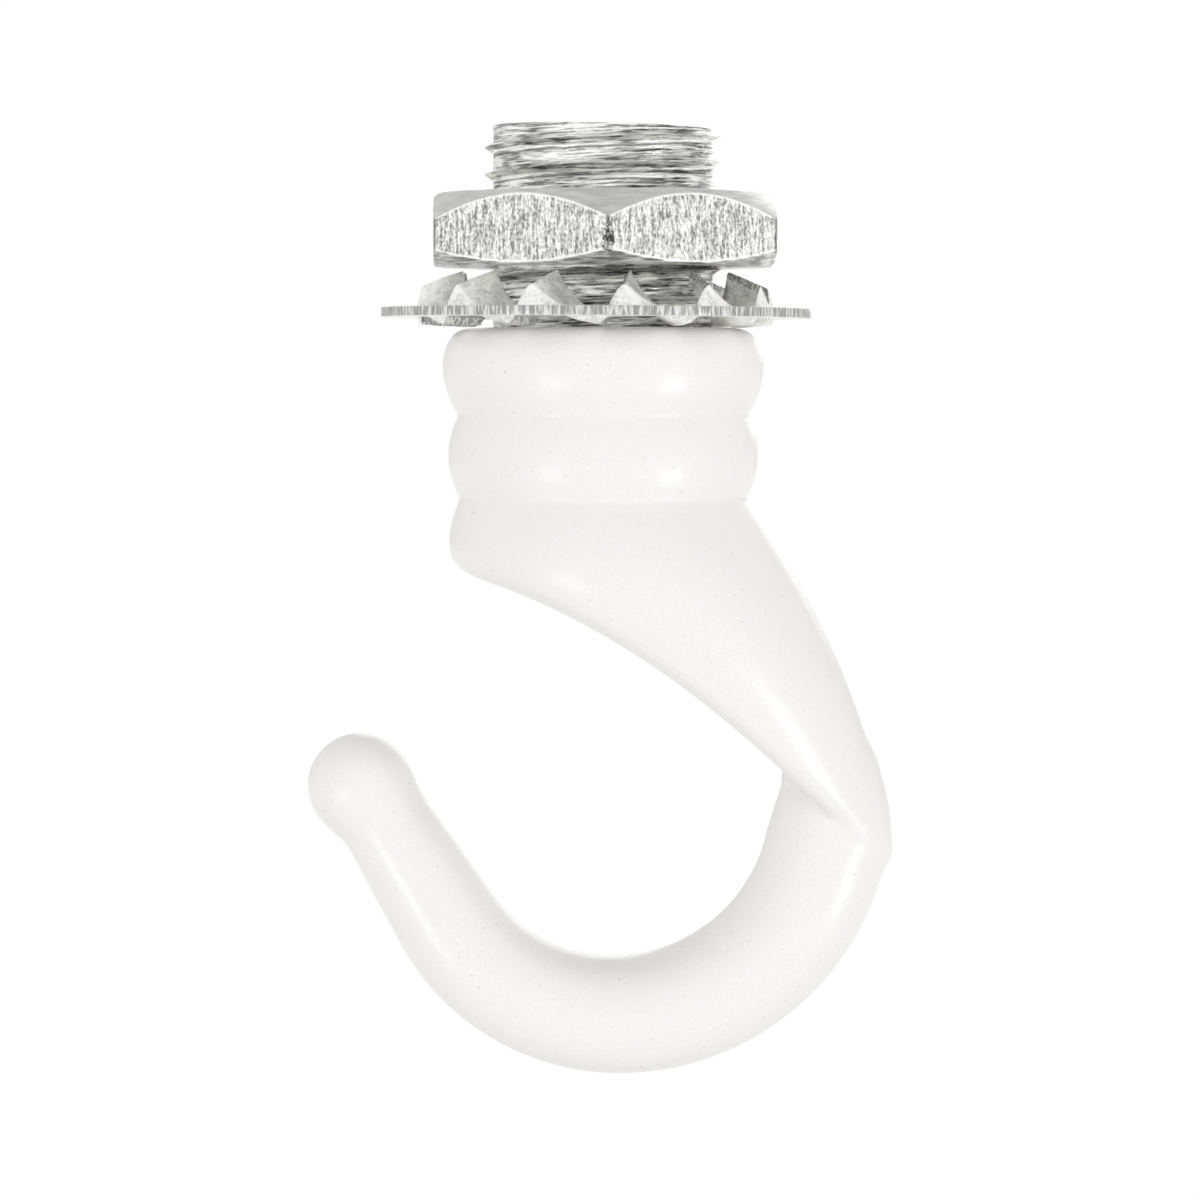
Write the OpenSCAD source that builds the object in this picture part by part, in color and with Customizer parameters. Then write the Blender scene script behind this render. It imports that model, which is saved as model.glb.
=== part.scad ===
// Ceiling screw hook: an enamelled casting on a hollow threaded nipple, with a hex nut and a toothed lock washer.
// The axis of the nipple is Z, the top face of the casting's collar is z = 0, and the hook curls in the XZ plane.

/* [Nipple] */
// Crest diameter of the nipple's thread
thread_d = 13.2; // [12:0.1:14.5]
// Distance from one crest of the thread to the next
thread_pitch = 1.5; // [1:0.01:1.8]
// Diameter of the wire way through the nipple
wire_way_d = 9.5; // [7:0.1:10]
// Height of the nipple's free end above the nut
free_end_h = 3.6; // [3:0.1:12]
// Depth to which the nipple is screwed into the collar
engaged_h = 9; // [6:0.1:9.2]
// Chamfer on the nipple's free end
nipple_chamfer = 0.45; // [0.2:0.05:0.6]

/* [Nut] */
// Nut's width across its flats
nut_af = 19.05; // [17:0.05:22]
// Nut's thickness
nut_h = 4.3; // [3:0.1:6]
// Slope of the chamfers on the nut's corners
nut_chamfer_angle = 38; // [25:1:45]
// Angle by which the front corner is turned from the viewer
nut_turn = 1.4; // [-30:0.1:30]

/* [Lock washer] */
// Gap all round between the nipple's thread and the teeth of the centred washer
tooth_clear = 1; // [0.6:0.05:1.5]
// Radial reach of each tooth inside the ring
tooth_reach = 2.1; // [1.5:0.1:2.2]
// Width of the washer's flat ring
washer_ring_w = 2.3; // [1.6:0.1:2.8]
// Thickness of the washer's sheet
washer_t = 0.58; // [0.4:0.02:0.8]
// Number of teeth
teeth = 12; // [8:1:14]
// Share of the pitch that a tooth fills at its root
root_fill = 0.82; // [0.5:0.01:0.9]
// Share of the pitch that a tooth fills at its free edge
edge_fill = 1; // [0.6:0.01:1]
// Twist of a tooth out of the sheet at its root
root_twist = 24; // [0:1:35]
// Twist of a tooth out of the sheet at its free edge
edge_twist = 47.5; // [20:0.5:60]
// Height of a tooth's middle above the sheet at its root
root_lift = 0.4; // [0:0.05:0.6]
// Height of a tooth's middle above the sheet at its free edge
edge_lift = 0.9; // [0.2:0.05:1.1]
// Angle by which a tooth's root lies behind its free edge
tooth_lean = 4; // [0:0.5:6]
// Angle by which the tooth in front is turned from the viewer
washer_turn = -5; // [-15:0.5:15]
// Sideways offset of the loose washer from the nipple's axis
washer_offset = 0.4; // [0:0.1:0.5]

/* [Collar] */
// Wall of the collar round the nipple's thread, at its flat top and at its neck
collar_wall = 1.4; // [1.2:0.05:2]
// Height of the upper rib above the collar's wall
upper_rib_h = 0.96; // [0.5:0.02:1.6]
// Depth of the upper rib's widest line below the top
upper_rib_z = 2.05; // [1.5:0.05:2.6]
// Height of the groove's floor above the collar's wall
groove_h = 0.06; // [0:0.02:0.4]
// Depth of the groove below the top
groove_z = 4.87; // [4:0.01:5.4]
// Height of the lower rib above the collar's wall
lower_rib_h = 0.64; // [0.5:0.02:1.6]
// Depth of the lower rib's widest line below the top
lower_rib_z = 7.1; // [6.6:0.05:7.6]
// Depth of the neck below the top
neck_z = 9.5; // [9.4:0.05:10]

/* [Spout] */
// Wall of the spout
wall = 2; // [1.4:0.1:2.4]
// Distance of the spout's tip from the axis
tip_x = 16.2; // [14:0.1:18]
// Depth of the spout's tip below the top
tip_z = 29.6; // [27:0.1:32]
// Radius of the spout at its tip
tip_r = 3.5; // [3:0.1:4.5]
// Widening of the spout below the neck
flare = 1.4; // [0.5:0.1:1.8]
// Slope of the spout's back at the neck
back_slope = 55.5; // [50:0.5:60]
// Slope of the spout's back at its tip
tip_slope = 83; // [78:0.5:86]
// Distance from the axis to the lip's high side
lip_x = 6.6; // [5:0.1:7]
// Depth of the lip's high side below the top
lip_z = 14.1; // [13:0.1:16]
// Slope of the lip at its high side
lip_slope = 16; // [10:1:25]
// Distance from the axis to the point where the lip meets the arm
lip_end_x = 9.5; // [8.5:0.1:10]
// Depth of that point below the top
lip_end_z = 24.15; // [23.5:0.05:25]
// Slope of the lip at its low side
lip_end_slope = 42.5; // [36:1:44]

/* [Hook] */
// Distance of the bend's centre from the axis
bend_x = 0.7; // [-0.5:0.1:1.5]
// Depth of the bend's centre below the top
bend_z = 26.4; // [26:0.1:28]
// Radius of the bend on the root's side, at the middle of the arm
bend_r = 12.1; // [11:0.1:12.6]
// Radius of the bend on the free side, at the middle of the arm
free_bend_r = 11.1; // [9:0.1:12.6]
// Angle of the arm's root above the bend's centre
root_angle = 5; // [0:1:10]
// Angle round the bend at which the arm runs straight
straight_angle = 148.5; // [135:0.5:160]
// Length of the straight run, up to the middle of its ball end
straight_l = 9.3; // [6:0.1:14]
// Thickness of the arm's root inside the spout
root_d = 5.5; // [4.5:0.1:6]
// Thickness of the arm where it leaves the spout
arm_d = 6.85; // [6:0.1:7.2]
// Thickness of the arm at the neck before its ball end
arm_neck_d = 5.1; // [4:0.1:5.2]
// Diameter of the ball end
ball_d = 5.6; // [5.2:0.1:6.5]
// Distance by which the ball sits outside the arm's middle line
ball_offset = 0.26; // [0:0.01:0.5]

/* [Hidden] */
$fn = 96;

// Gap between parts that only touch
touch = 0.02;
// A cut reaches this far past the surface that it opens
past = 1;
// The casting's own hole is this much wider than the nipple's wire way
way_clear = 0.5;
// Solids that are joined reach this far into each other
into = 0.5;
// The arm's swelling at the spout and the ball's offset each fade over this length
fade_l = 4;

// Depth of the thread's pitch line below its crests, as a share of the pitch
pitch_line_share = 0.325;
// Diameter of the nut's flat faces inside the chamfers, as a share of its width
nut_face_share = 0.955;
// A tooth is a little thinner than the ring that it is bent from
tooth_thin_share = 0.98;
// Reach of a tooth's bend into the ring, as a share of the tooth's own reach
bend_share = 0.3;

thread_r = thread_d / 2;
// Both sides of an engaged thread are drawn at its pitch diameter
pitch_r = thread_r - pitch_line_share * thread_pitch;
wire_r = wire_way_d / 2;

// The washer goes round the thread: the teeth's free edges, then their roots, then the ring's rim
tooth_edge_r = thread_r + tooth_clear;
tooth_root_r = tooth_edge_r + tooth_reach;
washer_r = tooth_root_r + washer_ring_w;

// A tooth at share s of its reach, from its root to its free edge: radius, half width, twist and height of its
// middle above the ring. Its corners stand that rise above and below the middle.
function along(root, edge, s) = root + (edge - root) * s;
function tooth_r(s) = along(tooth_root_r, tooth_edge_r, s);
function tooth_half_w(s) = tooth_r(s) * PI / teeth * along(root_fill, edge_fill, max(0, s));
function tooth_twist(s) = along(root_twist, edge_twist, max(0, s));
function tooth_lift(s) = along(root_lift, edge_lift, max(0, s));
function tooth_rise(s) = tooth_half_w(s) * sin(tooth_twist(s)) + washer_t / 2 * cos(tooth_twist(s));

// The teeth's corners touch the collar below and the nut above
rise_shares = [0 : 0.05 : 1];
ring_z = max([for (s = rise_shares) tooth_rise(s) - tooth_lift(s)]) + touch;
nut_z = ring_z + max([for (s = rise_shares) tooth_rise(s) + tooth_lift(s)]) + touch;
nipple_top = nut_z + nut_h + free_end_h;

// Radii of the collar, and the length of the spout below it
collar_r = thread_r + collar_wall;
upper_rib_r = collar_r + upper_rib_h;
groove_r = collar_r + groove_h;
lower_rib_r = collar_r + lower_rib_h;
spout_l = tip_z - neck_z;

// Steps round and along the lofted shapes
spout_sides = 48;
spout_steps = 16;
arm_sides = 24;
arm_steps = 30;
dome_steps = 5;
lip_sides = 10;
lip_steps = 36;
cut_steps = 12;
tooth_steps = 6;
tooth_bend_steps = 2;
// A dome's rings stop this far short of its pole, in degrees
pole_gap = 8;

// Point of a Bezier curve at t, from its list of control points
function bezier(p, t) =
    len(p) == 1 ? p[0] : (1 - t) * bezier([for (i = [0 : len(p) - 2]) p[i]], t)
        + t * bezier([for (i = [1 : len(p) - 1]) p[i]], t);

// Crossing of two lines, each given by a point and a slope in degrees
function crossing(p, slope_p, q, slope_q) =
    let (x = (q[1] - p[1] + tan(slope_p) * p[0] - tan(slope_q) * q[0]) / (tan(slope_p) - tan(slope_q)))
    [x, p[1] + tan(slope_p) * (x - p[0])];

// Closed solid through a stack of rings, each with the same number of points, counterclockwise along the stack
module skin(rings) {
    n = len(rings[0]);
    last = len(rings) - 1;
    sides = [
        for (j = [0 : last - 1], i = [0 : n - 1])
            let (a = j * n + i, b = j * n + (i + 1) % n)
            each [[a, b + n, b], [a, a + n, b + n]]
    ];
    bottom = [for (i = [0 : n - 1]) i];
    top = [for (i = [0 : n - 1]) last * n + n - 1 - i];
    polyhedron([for (r = rings) each r], concat([bottom], sides, [top]));
}

// Half of a rib's section: the arc from its widest line at z_wide to radius r_end at z_end
module rib_half(r_wide, z_wide, r_end, z_end) {
    depth = r_wide - r_end;
    height = abs(z_end - z_wide);
    arc_r = (depth ^ 2 + height ^ 2) / (2 * depth);
    intersection() {
        translate([r_wide - arc_r, z_wide])
            circle(arc_r);
        translate([0, min(z_wide, z_end)])
            square([r_wide, height]);
    }
}

// Solid ribbed collar
module collar() {
    rotate_extrude() {
        rib_half(upper_rib_r, -upper_rib_z, collar_r, 0);
        rib_half(upper_rib_r, -upper_rib_z, groove_r, -groove_z);
        rib_half(lower_rib_r, -lower_rib_z, groove_r, -groove_z);
        rib_half(lower_rib_r, -lower_rib_z, collar_r, -neck_z);
    }
}

// Back line of the spout in the XZ plane, from the neck down to the tip
spout_back = let (start = [collar_r, -neck_z], end = [tip_x, -tip_z])
    [start, crossing(start, -back_slope, end, -tip_slope), end];
// Control sections of the spout, from the neck down to the tip. Each has its share of the spout's length, its
// widening as a share of the flare, and its share of the way from the collar's radius to the tip's.
spout_controls = [[0, 0, 0], [0.175, 1.35, 0], [0.3, 2.1, 0], [0.62, 0, 0.35], [1, 0, 1]];
// Radius and height of those sections
spout_radius = [for (c = spout_controls)
    [collar_r + c[1] * flare + c[2] * (tip_r - collar_r), -neck_z - c[0] * spout_l]];

// Share of the back line's length at which it reaches height z
function back_share(z, lo = 0, hi = 1, n = 24) =
    let (mid = (lo + hi) / 2)
    n == 0 ? mid
        : bezier(spout_back, mid)[1] > z ? back_share(z, mid, hi, n - 1) : back_share(z, lo, mid, n - 1);

// Level ring of points round the spout
function spout_ring(x, r, z) = [
    for (i = [0 : spout_sides - 1])
        let (a = 360 * i / spout_sides)
        [x + r * cos(a), r * sin(a), z]
];

// Section of the spout at share t, with its wall taken off by inset
function spout_section(t, inset = 0) =
    let (rz = bezier(spout_radius, t), x = bezier(spout_back, back_share(rz[1]))[0] - rz[0])
    spout_ring(x, rz[0] - inset, rz[1]);

// The spout's root reaches up into the collar, just inside its surface
module spout_outside() {
    skin(concat(
        [for (j = [spout_steps : -1 : 1]) spout_section(j / spout_steps)],
        [spout_ring(0, collar_r - 2 * touch, -neck_z - touch), spout_ring(0, collar_r - into, -neck_z + into)]
    ));
}

// The wire's passage: it starts about as wide as the casting's hole, and has opened to the spout's wall at open_share
module spout_inside() {
    last_share = 0.86;
    open_share = 0.2;
    start_r = wire_r + way_clear - 5 * touch;
    skin([for (j = [spout_steps : -1 : 0])
        let (t = last_share * j / spout_steps, shut = max(0, 1 - t / open_share))
        spout_section(t, wall + shut * (collar_r - wall - start_r))]);
}

// Middle line of the lip's rounding in the XZ plane, half a wall above the lip's lower edge
lip_line = let (
    up = wall / 2 * [sin((lip_slope + lip_end_slope) / 2), cos((lip_slope + lip_end_slope) / 2)],
    high = [-lip_x, -lip_z] + up,
    low = [lip_end_x, -lip_end_z] + up
)
    [high, crossing(high, -lip_slope, low, -lip_end_slope), low];

// Share of the lip line at which it reaches x
function lip_share(x, lo = 0, hi = 1, n = 20) =
    let (mid = (lo + hi) / 2)
    n == 0 ? mid
        : bezier(lip_line, mid)[0] < x ? lip_share(x, mid, hi, n - 1) : lip_share(x, lo, mid, n - 1);

// Height of the lip line at x, with straight ends beyond the curve
function lip_height(x) =
    x < lip_line[0][0] ? lip_line[0][1] + (lip_line[0][0] - x) * tan(lip_slope)
        : x > lip_line[2][0] ? lip_line[2][1] - (x - lip_line[2][0]) * tan(lip_end_slope)
        : bezier(lip_line, lip_share(x))[1];

// Everything below the lip line, seen from the front
module below_lip() {
    reach = tip_x + past;
    depth = 2 * (collar_r + 2 * flare + past);
    rotate([90, 0, 0])
        linear_extrude(depth, center = true)
            polygon(concat(
                [[-reach, lip_height(-reach)]],
                [for (k = [0 : cut_steps]) bezier(lip_line, k / cut_steps)],
                [[reach, lip_height(reach)], [reach, -tip_z - depth], [-reach, -tip_z - depth]]
            ));
}

// Point in the middle of the spout's wall, a degrees round the section at share t
function wall_point(a, t) =
    let (rz = bezier(spout_radius, t), r = rz[0] - wall / 2, x = bezier(spout_back, back_share(rz[1]))[0] - rz[0])
    [x + r * cos(a), r * sin(a), rz[1]];

// Point where the middle of the wall, a degrees round, meets the lip line
function lip_point(a, lo = 0, hi = 1, n = 20) =
    let (p = wall_point(a, (lo + hi) / 2))
    n == 0 ? p
        : p[2] > lip_height(p[0]) ? lip_point(a, (lo + hi) / 2, hi, n - 1)
        : lip_point(a, lo, (lo + hi) / 2, n - 1);

// Rounded edge of the wall, swept round the mouth of the spout, with both of its ends inside the arm
module lip() {
    end_angle = 14;
    bead_r = wall / 2 + touch;
    skin([for (k = [0 : lip_steps])
        let (
            a = end_angle + (360 - 2 * end_angle) * k / lip_steps,
            c = lip_point(a),
            ahead = lip_point(a + 1) - lip_point(a - 1),
            along = ahead / norm(ahead),
            across = cross(along, [cos(a), sin(a), 0]),
            v = across / norm(across),
            u = cross(v, along)
        )
        [for (i = [0 : lip_sides - 1])
            let (b = 360 * (i + 0.5) / lip_sides)
            c + bead_r * (cos(b) * u + sin(b) * v)]]);
}

// The bend has one radius on the root's side and another on the free side, and both meet at its lowest point
root_bend_l = bend_r * (90 + root_angle) * PI / 180;
free_bend_l = free_bend_r * (straight_angle - 90) * PI / 180;
bend_l = root_bend_l + free_bend_l;
arm_l = bend_l + straight_l;
ball_r = ball_d / 2;

// Middle of the arm, and the direction away from the bend's centre there, s along from its root
function arm_point(s) =
    let (
        free = max(0, min(s, bend_l) - root_bend_l),
        a = root_angle - (min(s, root_bend_l) / bend_r + free / free_bend_r) * 180 / PI,
        r = s < root_bend_l ? bend_r : free_bend_r,
        centre = [bend_x, r - bend_r - bend_z],
        out = ball_offset * max(0, 1 - abs(arm_l - s) / fade_l),
        u = [cos(a), sin(a)]
    )
    [centre + (r + out) * u + max(0, s - bend_l) * [u[1], -u[0]], u];

// The arm swells as it leaves the spout, then thins with the cube of the distance
function arm_radius(s) =
    let (swell = min(1, max(0, s) / fade_l), share = min(1, max(0, s) / (arm_l - ball_r)))
    (root_d + (arm_d - root_d) * swell * (2 - swell) - (arm_d - arm_neck_d) * share ^ 3) / 2;

function arm_ring(s, r) =
    let (p = arm_point(s), c = p[0], u = p[1])
    [for (i = [0 : arm_sides - 1])
        let (a = 360 * i / arm_sides)
        [c[0] + r * cos(a) * u[0], -r * sin(a), c[1] + r * cos(a) * u[1]]];

// Rounded root inside the spout, the bend, the straight run and the ball end
module arm() {
    root_r = root_d / 2;
    turn = 90 - pole_gap;
    last = 2 * dome_steps - 1;
    skin(concat(
        [for (k = [0 : dome_steps - 1])
            let (a = pole_gap + turn * k / dome_steps)
            arm_ring(-root_r * cos(a), root_r * sin(a))],
        [for (k = [0 : arm_steps])
            let (s = (arm_l - ball_r) * k / arm_steps)
            arm_ring(s, arm_radius(s))],
        [for (k = [-3 : last])
            let (d = ball_r * sin(turn * k / last))
            arm_ring(arm_l + d, max(sqrt(ball_r ^ 2 - d ^ 2), d < 0 ? arm_radius(arm_l) : 0))]
    ));
}

module hook_body() {
    color("whitesmoke")
        difference() {
            union() {
                collar();
                difference() {
                    spout_outside();
                    spout_inside();
                    below_lip();
                }
                lip();
                arm();
            }
            translate([0, 0, -engaged_h])
                cylinder(r = pitch_r + touch, h = engaged_h + past);
            translate([0, 0, -neck_z - past])
                cylinder(r = wire_r + way_clear, h = neck_z + past);
        }
}

// Crest cylinder where the thread is bare, pitch cylinder where it is engaged
module threaded_nipple() {
    color("silver")
        rotate_extrude()
            polygon([
                [wire_r, -engaged_h],
                [pitch_r, -engaged_h],
                [pitch_r, touch],
                [thread_r, touch + thread_r - pitch_r],
                [thread_r, nut_z],
                [pitch_r, nut_z],
                [pitch_r, nut_z + nut_h],
                [thread_r, nut_z + nut_h],
                [thread_r, nipple_top - nipple_chamfer],
                [thread_r - nipple_chamfer, nipple_top],
                [wire_r + nipple_chamfer, nipple_top],
                [wire_r, nipple_top - nipple_chamfer]
            ]);
}

// Section of a tooth at share t of its reach, from its root to its free edge. A negative share lies in the ring,
// where the sheet starts to bend out: bent goes from 0 to 1 there.
function tooth_section(t) =
    let (
        bent = min(1, 1 + t / bend_share),
        r = tooth_r(t),
        half_w = tooth_half_w(t),
        half_t = washer_t / 2 * tooth_thin_share,
        twist = -bent * tooth_twist(t),
        z = ring_z + bent * tooth_lift(t),
        lean = -tooth_lean * (1 - max(0, t))
    )
    [for (p = [[-half_w, -half_t], [half_w, -half_t], [half_w, half_t], [-half_w, half_t]])
        let (y = p[0] * cos(twist) - p[1] * sin(twist))
        [r * cos(lean) - y * sin(lean), r * sin(lean) + y * cos(lean), z + p[0] * sin(twist) + p[1] * cos(twist)]];

module tooth() {
    skin([for (k = [tooth_steps : -1 : -tooth_bend_steps]) tooth_section(
        k > 0 ? k / tooth_steps : bend_share * k / tooth_bend_steps)]);
}

module lock_washer() {
    color("gainsboro")
        translate([-washer_offset, 0, 0]) {
            translate([0, 0, ring_z - washer_t / 2])
                difference() {
                    cylinder(r = washer_r, h = washer_t);
                    translate([0, 0, -past])
                        cylinder(r = tooth_root_r, h = washer_t + 2 * past);
                }
            for (i = [0 : teeth - 1])
                rotate(washer_turn - 90 + 360 / teeth * i)
                    tooth();
        }
}

module hex_nut() {
    corner_r = nut_af / 2 / cos(30);
    face_r = nut_af / 2 * nut_face_share;
    drop = (corner_r + past - face_r) * tan(nut_chamfer_angle);
    color("silver")
        translate([0, 0, nut_z])
            rotate(30 + nut_turn)
                difference() {
                    intersection() {
                        cylinder(r = corner_r, h = nut_h, $fn = 6);
                        rotate_extrude()
                            polygon([
                                [0, 0],
                                [face_r, 0],
                                [corner_r + past, drop],
                                [corner_r + past, nut_h - drop],
                                [face_r, nut_h],
                                [0, nut_h]
                            ]);
                    }
                    translate([0, 0, -past])
                        cylinder(r = pitch_r + touch, h = nut_h + 2 * past);
                }
}

hook_body();
threaded_nipple();
lock_washer();
hex_nut();
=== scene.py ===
# %% [markdown]
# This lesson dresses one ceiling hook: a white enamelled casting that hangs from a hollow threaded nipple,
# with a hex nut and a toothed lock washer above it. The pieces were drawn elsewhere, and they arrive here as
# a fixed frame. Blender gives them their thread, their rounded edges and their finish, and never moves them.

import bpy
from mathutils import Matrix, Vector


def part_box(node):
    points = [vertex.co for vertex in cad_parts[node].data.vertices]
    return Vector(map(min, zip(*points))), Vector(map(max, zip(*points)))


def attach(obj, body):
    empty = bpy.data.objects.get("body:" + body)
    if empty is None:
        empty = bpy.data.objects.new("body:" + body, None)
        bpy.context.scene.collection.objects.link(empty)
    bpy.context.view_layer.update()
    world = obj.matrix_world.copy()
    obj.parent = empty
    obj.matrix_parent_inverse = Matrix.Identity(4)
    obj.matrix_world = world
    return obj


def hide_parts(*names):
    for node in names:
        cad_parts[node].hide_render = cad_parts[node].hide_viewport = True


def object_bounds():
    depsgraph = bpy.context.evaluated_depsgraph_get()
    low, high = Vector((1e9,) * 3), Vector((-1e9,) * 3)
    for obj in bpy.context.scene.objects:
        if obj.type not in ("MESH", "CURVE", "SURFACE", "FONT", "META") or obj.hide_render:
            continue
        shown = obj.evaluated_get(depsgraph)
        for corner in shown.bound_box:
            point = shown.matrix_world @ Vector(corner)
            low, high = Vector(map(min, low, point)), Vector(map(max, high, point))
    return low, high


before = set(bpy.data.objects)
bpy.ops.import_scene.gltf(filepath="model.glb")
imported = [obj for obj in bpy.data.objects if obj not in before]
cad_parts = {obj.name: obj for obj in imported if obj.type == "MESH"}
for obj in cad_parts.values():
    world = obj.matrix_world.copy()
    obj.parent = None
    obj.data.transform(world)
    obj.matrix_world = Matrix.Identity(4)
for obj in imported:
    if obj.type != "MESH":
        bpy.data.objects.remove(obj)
cad_low, cad_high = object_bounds()
print("frame:", sorted(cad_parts), "size in mm:", [round(1000 * s, 2) for s in cad_high - cad_low])

# %% Tools of this lesson
import math

import bpy
import numpy as np
from mathutils import Vector

MM = 0.001
scene = bpy.context.scene
scene.view_settings.view_transform = "Standard"
print("colours are shown by", scene.view_settings.view_transform)

# %% [markdown]
# The picture shows a square of 67.2 mm at the hook's axis. The camera stands 280 mm in front of it, a
# little below the collar's top, so it sees the nut and the washer slightly from below and the bend slightly
# from above. That point of view is what decides which faces show. The camera is then tipped down until the
# hook is centred, because a lens shift would push the hook out of the picture in the other views.

# %% Camera
FRAME_MM = 67.2
CAMERA_DISTANCE_MM = 280
CAMERA_HEIGHT_MM = -3.1
AIM_X_MM = -0.17
AIM_Z_MM = -15.2

camera_data = bpy.data.cameras.new("camera")
camera = bpy.data.objects.new("camera", camera_data)
scene.collection.objects.link(camera)
camera.location = Vector((AIM_X_MM, -CAMERA_DISTANCE_MM, CAMERA_HEIGHT_MM)) * MM
to_aim = Vector((AIM_X_MM, 0, AIM_Z_MM)) * MM - camera.location
camera.rotation_euler = to_aim.to_track_quat("-Z", "Y").to_euler()
camera_data.sensor_width = 36
camera_data.lens = camera_data.sensor_width * to_aim.length / (FRAME_MM * MM)
camera_data.clip_start = 0.01
camera_data.clip_end = 20
scene.camera = camera
print("lens of", round(camera_data.lens, 1), "mm")

# %% [markdown]
# Every finish here is a small tree of nodes. Its maths is easier to read as Python, so a wire from a node's
# output gets the usual operators, and each of them adds one Math node. All other nodes come from one method
# that takes the node's type, its settings and what goes into its sockets.

# %% Wires and trees
class Wire:
    """An output socket of a node tree, on which Python's operators add Math nodes."""

    def __init__(self, tree, socket):
        self.tree = tree
        self.socket = socket

    def out(self, name):
        return Wire(self.tree, self.socket.node.outputs[name])

    def math(self, operation, first, second):
        return self.tree.node("ShaderNodeMath", {"operation": operation}, {0: first, 1: second})

    def __add__(self, other):
        return self.math("ADD", self, other)

    def __radd__(self, other):
        return self.math("ADD", other, self)

    def __sub__(self, other):
        return self.math("SUBTRACT", self, other)

    def __rsub__(self, other):
        return self.math("SUBTRACT", other, self)

    def __mul__(self, other):
        return self.math("MULTIPLY", self, other)

    def __rmul__(self, other):
        return self.math("MULTIPLY", other, self)

    def __truediv__(self, other):
        return self.math("DIVIDE", self, other)

    def __pow__(self, other):
        return self.math("POWER", self, other)

    def __abs__(self):
        return self.math("ABSOLUTE", self, 0)


class Tree:
    """A node tree that grows by one method. Settings come first, because they can change the sockets."""

    def __init__(self, node_tree):
        self.node_tree = node_tree

    def node(self, kind, settings=None, sockets=None):
        made = self.node_tree.nodes.new(kind)
        for name, value in (settings or {}).items():
            if name == "stops":
                set_stops(made.color_ramp, value)
            else:
                setattr(made, name, value)
        for key, value in (sockets or {}).items():
            if isinstance(value, Wire):
                self.node_tree.links.new(value.socket, made.inputs[key])
            else:
                made.inputs[key].default_value = value
        shown = [socket for socket in made.outputs if socket.enabled]
        return Wire(self, shown[0]) if shown else None


def set_stops(ramp, stops):
    while len(ramp.elements) < len(stops):
        ramp.elements.new(1)
    for element, (place, grey) in zip(ramp.elements, stops):
        element.position = place
        element.color = (grey, grey, grey, 1)


print("a wire takes + - * / ** and abs")

# %% [markdown]
# Four finishes are needed: enamel, and the zinc of the nut, of the thread and of the washer. They start and
# end in the same way, so these small helpers do that part.

# %% Materials
def new_material(name):
    material = bpy.data.materials.new(name)
    material.use_nodes = True
    material.node_tree.nodes.clear()
    return material, Tree(material.node_tree)


def finish_material(tree, shader):
    tree.node("ShaderNodeOutputMaterial", {}, {"Surface": shader})


def mix_colour(tree, share, first, second):
    mixed = tree.node("ShaderNodeMix", {"data_type": "RGBA"}, {0: share, 6: first, 7: second})
    return Wire(tree, mixed.socket.node.outputs[2])


def grey(value):
    return (value, value, value, 1)


print("tools are ready")

# %% [markdown]
# White enamel is mostly lit by the room around it, so the world does most of the work. It is an even soft
# light that grows towards the camera's side and towards the horizon, as in a light tent, at a level where a
# colour renders about as it is written. The camera and all that is mirrored see plain white instead: Light
# Path tells their rays apart. What is mirrored fades a little straight above and far behind the hook,
# because that gives the metal's slanted faces and the enamel's edges their tone.

# %% World
ROOM_LIGHT = 0.53
FRONT_LIGHT = 0.45
LEVEL_LIGHT, LEVEL_REACH = 4.1, 0.35
DARK_TOP, TOP_FROM, TOP_TO = 0.92, 0.5, 0.95
DARK_BEHIND, BEHIND_NARROW, BEHIND_TO = 0.75, 1.5, 0.7


def eased(tree, value, low, high):
    """Rises softly from nought at the low value to one at the high value."""
    return tree.node("ShaderNodeMapRange", {"interpolation_type": "SMOOTHSTEP"}, {
        "Value": value, "From Min": low, "From Max": high,
    })


world = bpy.data.worlds.new("studio")
scene.world = world
world.use_nodes = True
world.node_tree.nodes.clear()
studio = Tree(world.node_tree)
rays = studio.node("ShaderNodeLightPath")
direct = rays.out("Is Camera Ray") + rays.out("Is Transmission Ray") + rays.out("Is Glossy Ray")
way = studio.node("ShaderNodeTexCoord").out("Generated")
split = studio.node("ShaderNodeSeparateXYZ", {}, {0: way})
steep = abs(split.out("Z"))
facing_front = split.math("MAXIMUM", 0 - split.out("Y"), 0) ** 2
near_level = split.math("MAXIMUM", LEVEL_REACH - steep, 0)
tent = ROOM_LIGHT + FRONT_LIGHT * facing_front + LEVEL_LIGHT * near_level
top = eased(studio, split.out("Z"), TOP_FROM, TOP_TO)
behind = eased(studio, split.out("Y") - BEHIND_NARROW * steep, 0.0, BEHIND_TO)
faded = (1 - DARK_TOP) * top + (1 - DARK_BEHIND) * behind
plain = studio.node("ShaderNodeBackground", {}, {
    "Color": grey(1), "Strength": 1 - faded * rays.out("Is Glossy Ray"),
})
soft = studio.node("ShaderNodeBackground", {}, {"Color": grey(1), "Strength": tent})
seen = studio.node("ShaderNodeMixShader", {}, {0: direct, 1: soft, 2: plain})
studio.node("ShaderNodeOutputWorld", {}, {"Surface": seen})
print("room light", ROOM_LIGHT)

# %% [markdown]
# Two small soft lamps stand in front of the hook and below it, one on each side. Their mirror images are
# the bright spots on the ribs and the streaks down the arm, so each lamp stands where the spots ask for it.
# A wide and faint lamp behind the hook lifts its far side.

# %% Lamps
LAMP_DISTANCE_MM = 350
SOFT_LAMPS = {
    "left softbox": (-40, -20, 85, 4.2),
    "right softbox": (54, -21, 85, 6.0),
    "back softbox": (170, 20, 200, 1),
}


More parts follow.
